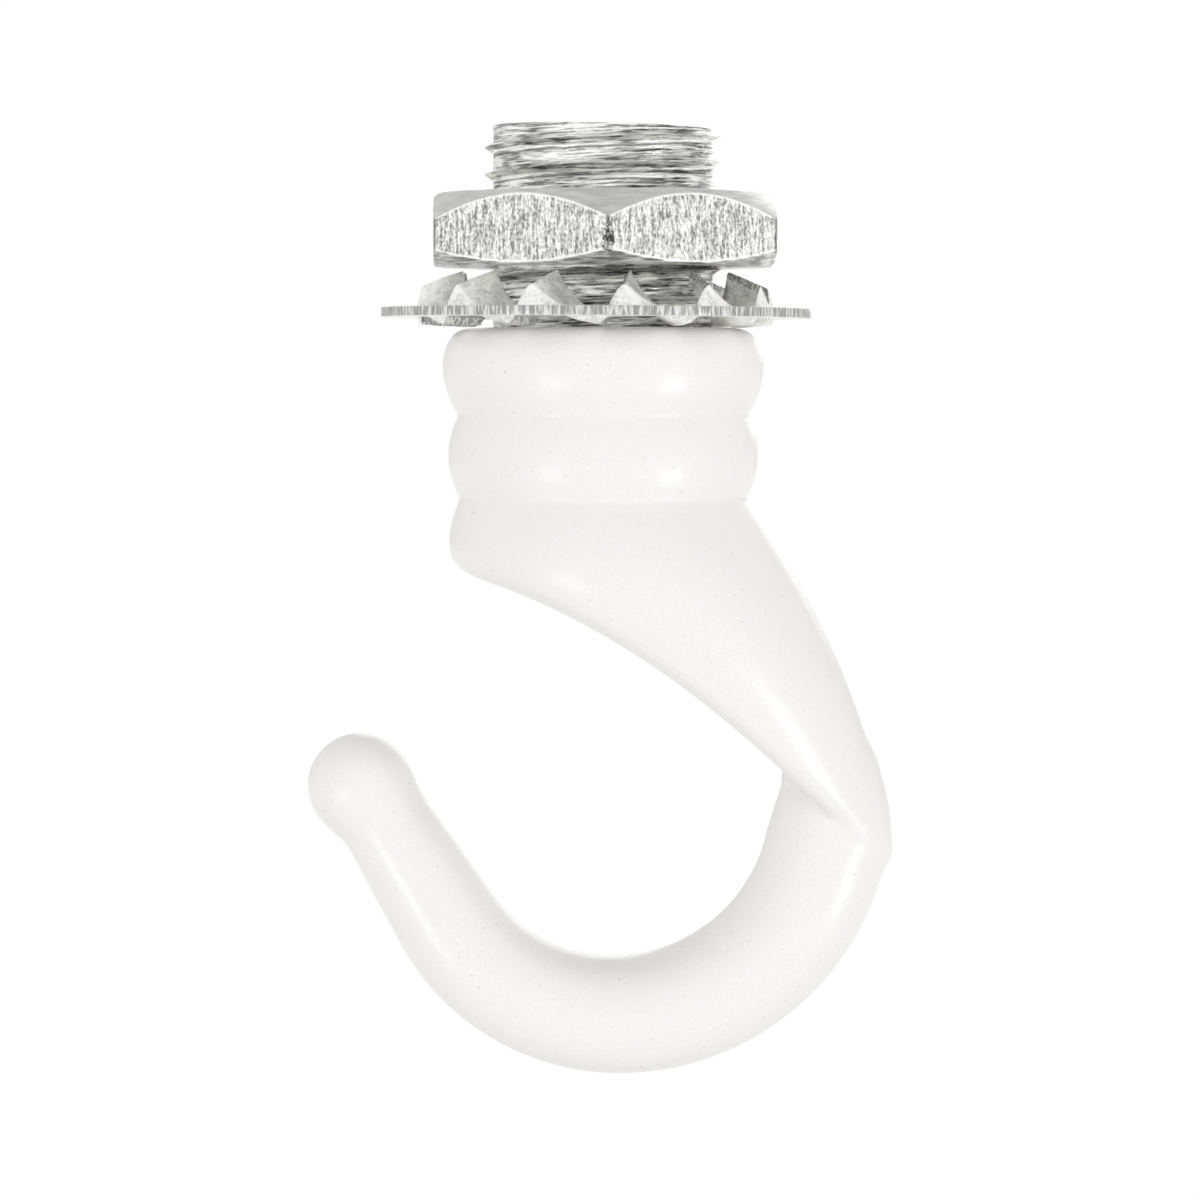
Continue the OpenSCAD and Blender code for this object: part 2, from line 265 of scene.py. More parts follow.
def soft_lamp(name, azimuth, elevation, width_mm, brightness):
    """A square lamp that faces the hook's middle. Azimuth 0 is the camera's side, 90 the picture's right."""
    turn, rise = math.radians(azimuth), math.radians(elevation)
    way_out = Vector((math.sin(turn) * math.cos(rise), -math.cos(turn) * math.cos(rise), math.sin(rise)))
    data = bpy.data.lights.new(name, "AREA")
    data.shape = "SQUARE"
    data.size = width_mm * MM
    data.energy = brightness * math.pi * data.size ** 2
    lamp = bpy.data.objects.new(name, data)
    scene.collection.objects.link(lamp)
    lamp.location = Vector((0, 0, AIM_Z_MM * MM)) + way_out * LAMP_DISTANCE_MM * MM
    lamp.rotation_euler = way_out.to_track_quat("Z", "Y").to_euler()
    lamp.visible_camera = False


for name, placing in SOFT_LAMPS.items():
    soft_lamp(name, *placing)
print("lamps:", list(SOFT_LAMPS))

# %% [markdown]
# The hook is made to hang, so the floor lies well below it. It is a pale plane that takes a soft shadow,
# and seen by the camera or in the metal most of it is plain white, like the room.

# %% Floor
FLOOR_DROP_MM = 150
FLOOR_SIZE_MM = 6000
FLOOR_TONE = 0.92
FLOOR_GLOW = 0.05
WHITE_NEAR = 0.8

floor_z = cad_low.z - FLOOR_DROP_MM * MM
bpy.ops.mesh.primitive_plane_add(size=FLOOR_SIZE_MM * MM, location=(0, 0, floor_z))
floor = bpy.context.object
floor.name = "floor"
floor_material, tree = new_material("floor")
rays = tree.node("ShaderNodeLightPath")
direct = rays.out("Is Camera Ray") + rays.out("Is Glossy Ray") + rays.out("Is Transmission Ray")
matt = tree.node("ShaderNodeBsdfDiffuse", {}, {"Color": grey(FLOOR_TONE)})
white = tree.node("ShaderNodeEmission", {}, {"Color": grey(1), "Strength": 1.0})
glow = tree.node("ShaderNodeEmission", {}, {"Color": grey(1), "Strength": FLOOR_GLOW})
lit = tree.node("ShaderNodeAddShader", {}, {0: matt, 1: glow})
floor_place = tree.node("ShaderNodeTexCoord").out("Object")
away = tree.node("ShaderNodeVectorMath", {"operation": "LENGTH"}, {0: floor_place}).out("Value")
whiteness = tree.node("ShaderNodeClamp", {}, {0: WHITE_NEAR + away})
finish_material(tree, tree.node("ShaderNodeMixShader", {}, {0: whiteness * direct, 1: lit, 2: white}))
floor.data.materials.append(floor_material)
print("floor at", round(floor_z / MM, 1), "mm")

# %% [markdown]
# The enamel is a thick white powder coat: satin, faintly uneven like orange peel, with a fine grain and a
# few dark specks. One noise makes the peel and a much finer one the grain. The specks are the middles of
# some cells of a Voronoi pattern, which the cells' random colours pick. The roughness stays one number: when
# it followed the peel, patches with hard edges showed in the render. The bump alone carries the peel.

# %% Enamel
ENAMEL = (0.892, 0.883, 0.865, 1)
ENAMEL_SPECK = (0.62, 0.6, 0.57, 1)
ENAMEL_ROUGH = 0.28
ENAMEL_RELIEF = 0.15
RELIEF_DEPTH = 0.00004
PEEL_SCALE, GRAIN_SCALE, SPECK_SCALE = 900, 9000, 1700
SPECK_SIZE = [(0.07, 1), (0.15, 0)]
SPECK_CHOICE = [(0.6, 0), (0.9, 1)]
SPECK_TONE, GRAIN_TONE, EVEN_TONE = 0.9, 0.5, 0.03


def enamel():
    material, tree = new_material("enamel")
    place = tree.node("ShaderNodeTexCoord").out("Object")
    peel = tree.node("ShaderNodeTexNoise", {}, {"Vector": place, "Scale": PEEL_SCALE, "Detail": 2})
    grain = tree.node("ShaderNodeTexNoise", {}, {"Vector": place, "Scale": GRAIN_SCALE, "Detail": 1})
    cells = tree.node("ShaderNodeTexVoronoi", {}, {"Vector": place, "Scale": SPECK_SCALE})
    middles = tree.node("ShaderNodeValToRGB", {"stops": SPECK_SIZE}, {0: cells})
    chosen = tree.node("ShaderNodeValToRGB", {"stops": SPECK_CHOICE}, {0: cells.out("Color")})
    specks = middles * chosen
    share = specks * SPECK_TONE + (grain - 0.5) * GRAIN_TONE + EVEN_TONE
    height = 0.7 * peel + 0.2 * grain - 0.6 * specks
    bump = tree.node("ShaderNodeBump", {}, {
        "Height": height, "Strength": ENAMEL_RELIEF, "Distance": RELIEF_DEPTH,
    })
    finish_material(tree, tree.node("ShaderNodeBsdfPrincipled", {}, {
        "Base Color": mix_colour(tree, share, ENAMEL, ENAMEL_SPECK),
        "Roughness": ENAMEL_ROUGH,
        "Normal": bump,
    }))
    return material


enamel_material = enamel()
print("finish:", enamel_material.name, "with", len(enamel_material.node_tree.nodes), "nodes")

# %% [markdown]
# The bare metal is zinc-plated steel. Each piece was cut another way and shows it: the nut's flats are
# brushed up and down, the thread is scored round its axis, and the washer is rolled sheet with sheared
# edges. The three finishes share the helpers below: noise that is squeezed along an axis, a map that makes
# it crisp, a mask round a line, and the metal itself, whose tone runs from dark to light with a hint of
# warmth.

# %% Zinc
DARK_BLUE, LIGHT_BLUE = 0.97, 0.975
MARKS_SCALE = 1000


def stretched(tree, place, scale, detail=3.0):
    """Noise on a place that is squeezed by a factor for each axis, which draws marks along the small ones."""
    squeezed = tree.node("ShaderNodeVectorMath", {"operation": "MULTIPLY"}, {0: place, 1: scale})
    return tree.node("ShaderNodeTexNoise", {}, {"Vector": squeezed, "Scale": MARKS_SCALE, "Detail": detail})


def sharpen(tree, value, low, high):
    """Spreads the values from low to high over 0 to 1."""
    return tree.node("ShaderNodeMapRange", {}, {"Value": value, "From Min": low, "From Max": high})


def near(tree, distance, reach):
    """One where a distance is nought, and none from the reach on."""
    return 1 - sharpen(tree, abs(distance), 0, reach)


def zinc(tree, shade, height, rough, dark, relief, metallic):
    """Bare zinc whose tone, relief and gloss follow the marks that the piece brings."""
    colour = mix_colour(tree, shade, (dark, dark, DARK_BLUE * dark, 1), (1, 1, LIGHT_BLUE, 1))
    bump = tree.node("ShaderNodeBump", {}, {"Height": height, "Strength": relief, "Distance": RELIEF_DEPTH})
    return tree.node("ShaderNodeBsdfPrincipled", {}, {
        "Base Color": colour, "Metallic": metallic, "Roughness": rough, "Normal": bump,
    })


print("helpers for the zinc are ready")

# %% [markdown]
# A nut is cut from bar, and its corners are turned off at a slant at both ends. Each flat then ends in a
# curved border, on which a bright highlight is painted, with a thin line of painted shade beyond it. Both
# lie on the chamfer's cone, so the finish gets them from the sizes that also shape the nut. The nut's top
# lies a fifth of a millimetre below the plain solid's, because the nut looks that much thinner in the
# picture.

# %% Sizes of the nut
NUT_FLAT_R = 9.44
NUT_TURN = math.radians(1.4)
LOWER_FACE_R, UPPER_FACE_R = 9.3, 9.19
LOWER_SLANT, UPPER_SLANT = math.tan(math.radians(26)), math.tan(math.radians(43))
CORNER_ROUND = 0.6
NUT_BORE_R, NUT_SINK_R, NUT_SINK_H = 6.15, 6.72, 0.5
EDGE_ROUND = 0.11
SIX_SIDES = math.radians(60)
NUT_TOP_CUT = 0.2

nut_low, nut_high = [corner.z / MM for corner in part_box("hex_nut")]
nut_high -= NUT_TOP_CUT
print("nut from", round(nut_low, 2), "to", round(nut_high, 2), "mm")

# %% [markdown]
# A node knows a place in metres, so a reach in a finish is in metres too. A border is the thin band of a flat
# beside the chamfer's cone, and a corner is where the side has turned well away from the middle of its flat.
# The border gets a painted highlight, and the line beyond it and the corner get painted shade.

# %% Borders of the nut, with painted highlight and shade
BORDER_HIGHLIGHT_IN, BORDER_HIGHLIGHT_REACH = 0.00007, 0.0001
SHADE_LINE_OUT, SHADE_LINE_REACH = 0.00004, 0.00009
# Turns from the middle of a flat over which painted shade comes onto a rounded corner.
CORNER_SHADE_FROM, CORNER_SHADE_TO = math.radians(12), math.radians(24)


def nut_masks(tree, split):
    """Where the flats are, the painted highlight on their borders, the painted shade line beyond, and the
    shaded corners.
    """
    facing = tree.node("ShaderNodeSeparateXYZ", {}, {0: tree.node("ShaderNodeNewGeometry").out("Normal")})
    flat = 1 - sharpen(tree, abs(facing.out("Z")), 0.1, 0.3)
    out = (split.out("X") ** 2 + split.out("Y") ** 2) ** 0.5
    lower_border = split.out("Z") - nut_low * MM - (out - LOWER_FACE_R * MM) * LOWER_SLANT
    upper_border = nut_high * MM - (out - UPPER_FACE_R * MM) * UPPER_SLANT - split.out("Z")
    from_border = lower_border.math("MINIMUM", lower_border, upper_border)
    # Painted highlight along each flat's border, and a painted shade line just beyond it.
    border = near(tree, from_border - BORDER_HIGHLIGHT_IN, BORDER_HIGHLIGHT_REACH) * flat
    outline = near(tree, from_border + SHADE_LINE_OUT, SHADE_LINE_REACH)
    # The corner mask below is where shade is painted on the rounded corners.
    side = facing.math("ARCTAN2", facing.out("Y"), facing.out("X")) - NUT_TURN
    from_flat = facing.math("PINGPONG", side, SIX_SIDES / 2)
    return flat, border, outline, sharpen(tree, from_flat, CORNER_SHADE_FROM, CORNER_SHADE_TO) * flat


print("borders turned at", round(math.degrees(math.atan(LOWER_SLANT))), "and",
      round(math.degrees(math.atan(UPPER_SLANT))), "degrees")

# %% [markdown]
# The flats are brushed upright and the chamfers are turned, coarsely below and finely above. A blow has
# scuffed the front corner: the nut's shape has a dent there, and the finish makes it dull and pitted.

# %% Nut's zinc
TURNED_FROM, TURNED_TO = 0.0042, 0.0052
SCUFF_X, SCUFF_REACH_X = 0.0003, 0.0004
SCUFF_FRONT_FROM, SCUFF_FRONT_TO = 0.0104, 0.0106
SCUFF_Z, SCUFF_REACH_Z = 0.00465, 0.0011
NUT_DARK, NUT_METALLIC = 0.07, 0.68


def nut_scuff(tree, split):
    """One on the scuffed patch of the front corner."""
    beside = near(tree, split.out("X") - SCUFF_X, SCUFF_REACH_X)
    in_front = sharpen(tree, 0 - split.out("Y"), SCUFF_FRONT_FROM, SCUFF_FRONT_TO)
    in_height = near(tree, split.out("Z") - SCUFF_Z, SCUFF_REACH_Z)
    return sharpen(tree, beside * in_front * in_height, 0.15, 0.3)


def nut_finish():
    material, tree = new_material("nut zinc")
    place = tree.node("ShaderNodeTexCoord").out("Object")
    split = tree.node("ShaderNodeSeparateXYZ", {}, {0: place})
    flat, border, outline, corner = nut_masks(tree, split)
    brushed = sharpen(tree, stretched(tree, place, (6, 6, 0.9), 1.0), 0.42, 0.54)
    grain = sharpen(tree, stretched(tree, place, (8, 8, 5), 1.0), 0.42, 0.54)
    turned = sharpen(tree, stretched(tree, place, (0.7, 0.7, 7), 2.0), 0.4, 0.6)
    pitted = sharpen(tree, stretched(tree, place, (5, 5, 3.5), 2.0), 0.47, 0.56)
    blotch = sharpen(tree, stretched(tree, place, (0.9, 0.9, 0.9)), 0.3, 0.7)
    low = 1 - sharpen(tree, split.out("Z"), TURNED_FROM, TURNED_TO)
    turning = (0.78 + 0.2 * turned) * (1 - low) + (0.4 + 1.1 * turned) * low
    marks = (0.18 + 0.44 * brushed + 0.44 * grain) * flat + turning * (1 - flat)
    # The border adds painted highlight; the corner and the outline darken the tone as painted shade.
    shade = (0.9 * marks + 0.1 * blotch + 0.6 * border) * (1 - 0.7 * corner) * (1 - 0.7 * outline)
    scuff = nut_scuff(tree, split)
    shade = shade * (1 - scuff) + scuff * (0.7 * pitted - 0.1)
    gloss = 0.26 + 0.12 * blotch
    finish_material(tree, zinc(tree, shade, marks, gloss, NUT_DARK, 1.0, NUT_METALLIC))
    return material


nut_zinc = nut_finish()
print("finish:", nut_zinc.name, "with", len(nut_zinc.node_tree.nodes), "nodes")

# %% [markdown]
# A rolled thread is scored round its axis, climbing a pitch for each turn. A painted highlight on each crest
# and a line of painted shade under it, where the lower flank would be in shadow, follow the true helix. The
# score marks only lean with it, because noise on the helix itself would show a seam at the back, where the
# turn starts again.

# %% Thread's zinc
PITCH = 1.5
FIRST_CREST = -3.48
THREAD_MEAN_R = 6.3
# Reaches of the painted highlight above each crest and of the painted shade below it.
CREST_HIGHLIGHT_UP, CREST_HIGHLIGHT_REACH = 0.00004, 0.00009
UNDER_SHADE_DOWN, UNDER_SHADE_REACH = 0.00014, 0.0001
THREAD_DARK, THREAD_METALLIC = 0.05, 0.75


def thread_finish():
    material, tree = new_material("thread zinc")
    place = tree.node("ShaderNodeTexCoord").out("Object")
    split = tree.node("ShaderNodeSeparateXYZ", {}, {0: place})
    tilted = split.out("Z") - split.out("X") * (PITCH / (2 * math.pi * THREAD_MEAN_R))
    along = tree.node("ShaderNodeCombineXYZ", {}, {"X": split.out("X"), "Y": split.out("Y"), "Z": tilted})
    lines = sharpen(tree, stretched(tree, along, (0.3, 0.3, 8), 1.0), 0.45, 0.55)
    ticks = sharpen(tree, stretched(tree, along, (1.0, 1.0, 9), 1.0), 0.45, 0.55)
    sweep = sharpen(tree, stretched(tree, along, (0.35, 0.35, 1.6), 1.0), 0.35, 0.65)
    marks = 0.4 * lines + 0.3 * ticks + 0.3 * sweep
    turn = split.math("ARCTAN2", split.out("X"), 0 - split.out("Y"))
    level = split.out("Z") - turn * (PITCH * MM / (2 * math.pi))
    past_crest = tree.node("ShaderNodeMath", {"operation": "WRAP"}, {
        0: level - FIRST_CREST * MM, 1: PITCH * MM / 2, 2: -PITCH * MM / 2,
    })
    # Painted highlight on the crest, and painted shade on the flank under it.
    crest = near(tree, past_crest - CREST_HIGHLIGHT_UP, CREST_HIGHLIGHT_REACH)
    under = near(tree, past_crest + UNDER_SHADE_DOWN, UNDER_SHADE_REACH)
    shade = (1.35 * marks - 0.05 + 0.4 * crest) * (1 - 0.75 * under)
    finish_material(tree, zinc(tree, shade, marks, 0.2 + 0.12 * ticks, THREAD_DARK, 1.0, THREAD_METALLIC))
    return material


thread_zinc = thread_finish()
print("finish:", thread_zinc.name, "with a pitch of", PITCH, "mm")

# %% [markdown]
# The washer is punched from sheet. Its rim and its teeth's edges are sheared and show upright tears, and its
# faces are dull with a fine grain. A highlight is painted where the sheet is drawn over the bend of a tooth
# and on faces that lie level. Where the bend and the cut edges are can't be read from a place in space, so
# the washer's mesh brings them as two attributes, "cut" and "drawn".

# %% Washer's zinc
WASHER_DARK, WASHER_METALLIC, WASHER_RELIEF = 0.33, 0.35, 0.6
# The range of facing that picks the level faces on which a highlight is painted.
LEVEL_HIGHLIGHT_FROM, LEVEL_HIGHLIGHT_TO = 0.94, 0.99


def washer_finish():
    material, tree = new_material("washer zinc")
    place = tree.node("ShaderNodeTexCoord").out("Object")
    cut = tree.node("ShaderNodeAttribute", {"attribute_name": "cut"}).out("Fac")
    # Where the sheet is drawn over a tooth's bend, a highlight is painted.
    drawn = tree.node("ShaderNodeAttribute", {"attribute_name": "drawn"}).out("Fac")
    sheared = sharpen(tree, stretched(tree, place, (7, 7, 0.8), 1.0), 0.42, 0.58)
    grain = sharpen(tree, stretched(tree, place, (6, 6, 6)), 0.38, 0.62)
    blotch = sharpen(tree, stretched(tree, place, (1.3, 1.3, 1.3)), 0.38, 0.62)
    facing = tree.node("ShaderNodeSeparateXYZ", {}, {0: tree.node("ShaderNodeNewGeometry").out("Normal")})
    # Faces that lie level get a painted highlight.
    level = sharpen(tree, abs(facing.out("Z")), LEVEL_HIGHLIGHT_FROM, LEVEL_HIGHLIGHT_TO)
    face = 0.45 + 0.35 * grain + 0.35 * blotch + 0.3 * drawn + 0.5 * level
    marks = cut * (0.65 * sheared - 0.05) + (1 - cut) * face
    gloss = 0.3 + 0.14 * blotch
    finish_material(tree, zinc(tree, marks, marks, gloss, WASHER_DARK, WASHER_RELIEF, WASHER_METALLIC))
    return material


washer_zinc = washer_finish()
print("finish:", washer_zinc.name, "with", len(washer_zinc.node_tree.nodes), "nodes")

# %% [markdown]
# The casting is one smooth body, and the coat of enamel rounds every edge. Such a shape is easy to write as
# a signed distance: a number at each point of space that is negative inside the metal. The solids are
# joined by a smooth minimum, which leaves a fillet, and cut by a smooth maximum, which leaves a rounded
# edge. The surface is then drawn where the number is zero. All sizes below are in millimetres, as on the
# drawing.

# %% Sizes of the casting
NECK_Z = -9.5
COLLAR_R = 8.0
UPPER_RIB = (8.96, -2.05)
GROOVE = (8.06, -4.87)
LOWER_RIB = (8.64, -7.1)
WALL = 2.0
TIP = (16.2, -29.6)
TIP_R = 3.5
FLARE = 1.4
BACK_SLOPE, TIP_SLOPE = 55.5, 83
LIP_HIGH, LIP_LOW = (-6.6, -14.1), (9.5, -24.15)
LIP_SLOPE, LIP_END_SLOPE = 16, 42.5
BEND = (0.7, -26.4)
BEND_R, FREE_BEND_R = 12.1, 11.1
ROOT_ANGLE, STRAIGHT_ANGLE = 5, 148.5
STRAIGHT_L = 9.05
ROOT_R, ARM_R, ARM_NECK_R, BALL_R = 2.75, 3.425, 2.55, 2.8
BALL_OFFSET = 0.26
FADE_L = 4
HOLE_R, WIRE_HOLE_R = 6.16, 5.25
ENGAGED_H = 9
OPENING_L = 3.2
HOLE_FILLET, TOP_FILLET, ARM_FILLET, BALL_FILLET = 0.3, 0.5, 0.7, 0.8

print("collar", 2 * COLLAR_R, "mm wide, ball", 2 * BALL_R, "mm")

# %% [markdown]
# The outline is drawn from a few sure points, as on paper. The ribs are arcs, and the spout's back and its
# lip are Bezier curves, because such a curve leaves its end points in a known direction and is smooth in
# between.


# %% Curves of the casting
def bezier(points, share):
    """Point of a Bezier curve at each share, from its control points."""
    points = [np.asarray(p, float) for p in points]
    while len(points) > 1:
        points = [np.multiply.outer(1 - share, a) + np.multiply.outer(share, b) if a.ndim == 1
                  else (1 - share)[:, None] * a + share[:, None] * b for a, b in zip(points, points[1:])]
    return points[0]


def crossing(p, slope_p, q, slope_q):
    """Crossing of two lines, each given by a point and a slope in degrees."""
    rise_p, rise_q = math.tan(math.radians(slope_p)), math.tan(math.radians(slope_q))
    x = (q[1] - p[1] + rise_p * p[0] - rise_q * q[0]) / (rise_p - rise_q)
    return x, p[1] + rise_p * (x - p[0])


def arc_profile(z, wide, end):
    """Radius of a rib at each height z, on the arc from its widest point to its end."""
    depth, height = wide[0] - end[0], abs(end[1] - wide[1])
    arc_r = (depth ** 2 + height ** 2) / (2 * depth)
    return wide[0] - arc_r + np.sqrt(np.maximum(arc_r ** 2 - (z - wide[1]) ** 2, 0))


CURVE_STEPS = 400
SPOUT_CONTROLS = [(0, 0, 0), (0.175, 1.35, 0), (0.3, 2.1, 0), (0.62, 0, 0.35), (1, 0, 1)]
spout_l = NECK_Z - TIP[1]
spout_radius = [(COLLAR_R + c[1] * FLARE + c[2] * (TIP_R - COLLAR_R), NECK_Z - c[0] * spout_l)
                for c in SPOUT_CONTROLS]
back_start = (COLLAR_R, NECK_Z)
spout_back = [back_start, crossing(back_start, -BACK_SLOPE, TIP, -TIP_SLOPE), TIP]
lip_up = WALL / 2
lip_mean = math.radians((LIP_SLOPE + LIP_END_SLOPE) / 2)
lip_high = (LIP_HIGH[0] + lip_up * math.sin(lip_mean), LIP_HIGH[1] + lip_up * math.cos(lip_mean))
lip_low = (LIP_LOW[0] + lip_up * math.sin(lip_mean), LIP_LOW[1] + lip_up * math.cos(lip_mean))
lip_line = [lip_high, crossing(lip_high, -LIP_SLOPE, lip_low, -LIP_END_SLOPE), lip_low]
shares = np.linspace(0, 1, CURVE_STEPS)
print("spout is", round(spout_l, 2), "mm long")


# %% [markdown]
# Cut level at any height, the collar and the spout are circles outside. So two tables are enough for them:
# the circle's radius, and how far its centre lies to the side. Both are smoothed a little, as the coat of
# enamel does.

# %% Levels of the casting
LEVELS, ABOVE_TOP, BELOW_TIP = 3600, 0.6, 4
SMOOTHED_LEVELS = 41


def level_tables():
    """Radius and centre of the level ring at each height, from the collar's top down past the tip."""
    z = np.linspace(ABOVE_TOP, TIP[1] - BELOW_TIP, LEVELS)
    ribs = np.select(
        [z > UPPER_RIB[1], z > GROOVE[1], z > LOWER_RIB[1], z > NECK_Z],
        [arc_profile(z, UPPER_RIB, (COLLAR_R, 0)), arc_profile(z, UPPER_RIB, GROOVE),
         arc_profile(z, LOWER_RIB, GROOVE), arc_profile(z, LOWER_RIB, (COLLAR_R, NECK_Z))], 0)
    section = bezier(spout_radius, shares)
    back = bezier(spout_back, shares)
    down = np.where(z > NECK_Z, NECK_Z, z)
    radius = np.interp(-down, -section[:, 1], section[:, 0])
    centre = np.interp(-down, -back[:, 1], back[:, 0]) - radius
    radius = np.where(z > NECK_Z, ribs, radius)
    centre = np.where(z > NECK_Z, 0, centre)
    kernel = np.hanning(SMOOTHED_LEVELS)
    kernel /= kernel.sum()
    pad = len(kernel) // 2
    radius = np.convolve(np.pad(radius, pad, "edge"), kernel, "valid")
    centre = np.convolve(np.pad(centre, pad, "edge"), kernel, "valid")
    return z, radius, centre


level_z, level_r, level_x = level_tables()
print("widest circle", round(2 * float(level_r.max()), 2), "mm across")


# %% [markdown]
# Two distances are joined by taking the smaller one, and one is cut by another by taking the larger. Done
# plainly that leaves a sharp edge. Done with a small bend where the two numbers are close, it leaves a
# fillet, which is what a thick coat of enamel does.

# %% Distances
def smooth_min(a, b, reach):
    """The smaller of a and b, with a fillet of about that reach where they cross."""
    share = np.maximum(reach - np.abs(a - b), 0) / reach
    return np.minimum(a, b) - share ** 2 * reach / 4


def smooth_max(a, b, reach):
    return -smooth_min(-a, -b, reach)


def lip_height(x):
    """Height of the line that the lip's round is drawn about, straight on past both its ends."""
    line = bezier(lip_line, shares)
    before = lip_high[1] + (lip_high[0] - x) * math.tan(math.radians(LIP_SLOPE))
    after = lip_low[1] - (x - lip_low[0]) * math.tan(math.radians(LIP_END_SLOPE))
    inside = np.interp(x, line[:, 0], line[:, 1])
    return np.where(x < lip_high[0], before, np.where(x > lip_low[0], after, inside))


def across_lip(x, step=0.05):
    """How much of a height counts as distance from the lip, because the lip slopes."""
    rise = (lip_height(x + step) - lip_height(x - step)) / (2 * step)
    return 1 / np.sqrt(1 + rise ** 2)


print("lip at the collar's axis:", round(float(lip_height(0.0)), 2), "mm")


# %% [markdown]
# A wall that leans is nearer than it seems when one measures level, so the distance is corrected by the
# lean. In the collar the metal is thick and has the nipple's hole in it. In the spout it is a thin wall that
# ends in a full round along the lip, and one blends into the other just below the collar.

# %% Collar and spout
BLEND_FROM, BLEND_L = 1.5, 2
LEAST_OUT = 0.2


def change_with_height(table, z, step=0.02):
    """How fast a level table grows at each height."""
    return (np.interp(-z - step, -level_z, table) - np.interp(-z + step, -level_z, table)) / (2 * step)


def shell_distance(x, y, z):
    """Collar and spout: a wall round the level rings that ends in a full round at the lip."""
    radius = np.interp(-z, -level_z, level_r)
    centre = np.interp(-z, -level_z, level_x)
    out = np.hypot(x - centre, y)
    sideways = (x - centre) / np.maximum(out, LEAST_OUT)
    lean = change_with_height(level_r, z) + change_with_height(level_x, z) * sideways
    true = 1 / np.sqrt(1 + lean ** 2)
    half = WALL / 2
    past_lip = np.maximum((lip_height(x) - z) * across_lip(x), 0)
    wall = np.hypot((out - (radius - half)), past_lip / true) - half
    outer = (out - radius) * true
    hole = np.where(z > -ENGAGED_H, HOLE_R, WIRE_HOLE_R)
    open_share = np.clip((NECK_Z - z) / OPENING_L, 0, 1)
    hole_low = WIRE_HOLE_R + open_share * (radius - WALL - WIRE_HOLE_R)
    hole = np.where(z > NECK_Z, hole, hole_low)
    thick = smooth_max(outer, hole - out, HOLE_FILLET)
    thick = smooth_max(thick, z, TOP_FILLET)
    blend = np.clip((NECK_Z - BLEND_FROM - z) / BLEND_L, 0, 1)
    return np.where(z > NECK_Z - BLEND_FROM, thick, (1 - blend) * thick + blend * wall * true)


# %% [markdown]
# The arm is a round bar along two arcs and a straight. It is thickest in the bend and tapers to a neck,
# where a ball ends it. Its distance is the distance from that line, less the bar's radius at the nearest
# point of the line.

# %% Arm and ball
ARM_L_ROOT = BEND_R * math.radians(90 + ROOT_ANGLE)
ARM_L_BEND = ARM_L_ROOT + FREE_BEND_R * math.radians(STRAIGHT_ANGLE - 90)
ARM_L = ARM_L_BEND + STRAIGHT_L


def arm_radius(along):
    """Radius of the bar, which swells from its root and tapers to the ball's neck."""
    swell = np.clip(along / FADE_L, 0, 1)
    share = np.clip(along / (ARM_L - BALL_R), 0, 1)
    return ROOT_R + (ARM_R - ROOT_R) * swell * (2 - swell) - (ARM_R - ARM_NECK_R) * share ** 3


def arm_distance(x, y, z):
    """Distance to the bar along its two arcs and its straight, and to the ball at its end."""
    free_z = BEND[1] - BEND_R + FREE_BEND_R
    turn = math.radians(STRAIGHT_ANGLE)
    out_way = (-math.cos(math.pi - turn), -math.sin(math.pi - turn))
    on_way = (out_way[1], -out_way[0])
    end = (BEND[0] + FREE_BEND_R * out_way[0], free_z + FREE_BEND_R * out_way[1])
    root_turn = np.arctan2(-(z - BEND[1]), x - BEND[0])
    along_root = (root_turn + math.radians(ROOT_ANGLE)) * BEND_R
    near_root = np.clip(along_root, 0, ARM_L_ROOT)
    angle = near_root / BEND_R - math.radians(ROOT_ANGLE)
    root = np.sqrt((x - BEND[0] - BEND_R * np.cos(angle)) ** 2 + y ** 2
                   + (z - BEND[1] + BEND_R * np.sin(angle)) ** 2) - arm_radius(near_root)
    free_turn = np.arctan2(-(z - free_z), x - BEND[0])
    free_turn = np.where(free_turn < -math.pi / 2, free_turn + 2 * math.pi, free_turn)
    free_angle = np.clip(free_turn, math.pi / 2, turn)
    near_free = ARM_L_ROOT + (free_angle - math.pi / 2) * FREE_BEND_R
    free = np.sqrt((x - BEND[0] - FREE_BEND_R * np.cos(free_angle)) ** 2 + y ** 2
                   + (z - free_z + FREE_BEND_R * np.sin(free_angle)) ** 2) - arm_radius(near_free)
    run = np.clip((x - end[0]) * on_way[0] + (z - end[1]) * on_way[1], 0, STRAIGHT_L)
    straight = np.sqrt((x - end[0] - run * on_way[0]) ** 2 + y ** 2
                       + (z - end[1] - run * on_way[1]) ** 2) - arm_radius(ARM_L_BEND + run)
    ball_x = end[0] + STRAIGHT_L * on_way[0] + BALL_OFFSET * out_way[0]
    ball_z = end[1] + STRAIGHT_L * on_way[1] + BALL_OFFSET * out_way[1]
    ball = np.sqrt((x - ball_x) ** 2 + y ** 2 + (z - ball_z) ** 2) - BALL_R
    bar = np.minimum(np.minimum(root, free), straight)
    return smooth_min(bar, ball, BALL_FILLET)


def casting_distance(points):
    x, y, z = points[..., 0], points[..., 1], points[..., 2]
    return smooth_min(shell_distance(x, y, z), arm_distance(x, y, z), ARM_FILLET)


print("arm is", round(ARM_L, 1), "mm long")

# %% [markdown]
# Surface nets turn the distance into a mesh. Each cell of a grid that the surface passes through gets one
# point, and each grid edge that it crosses gets one quad between the four cells round it. The points are
# then moved along the slope of the distance until they lie on the surface itself, which removes the grid's
# steps.


# %% Points of the net
CUBE_CORNERS = [(i, j, k) for i in (0, 1) for j in (0, 1) for k in (0, 1)]


def at_corner(value, corner):
    """The values at one corner of every cell of the grid."""
    return value[tuple(slice(o, value.shape[n] - 1 + o) for n, o in enumerate(corner))]


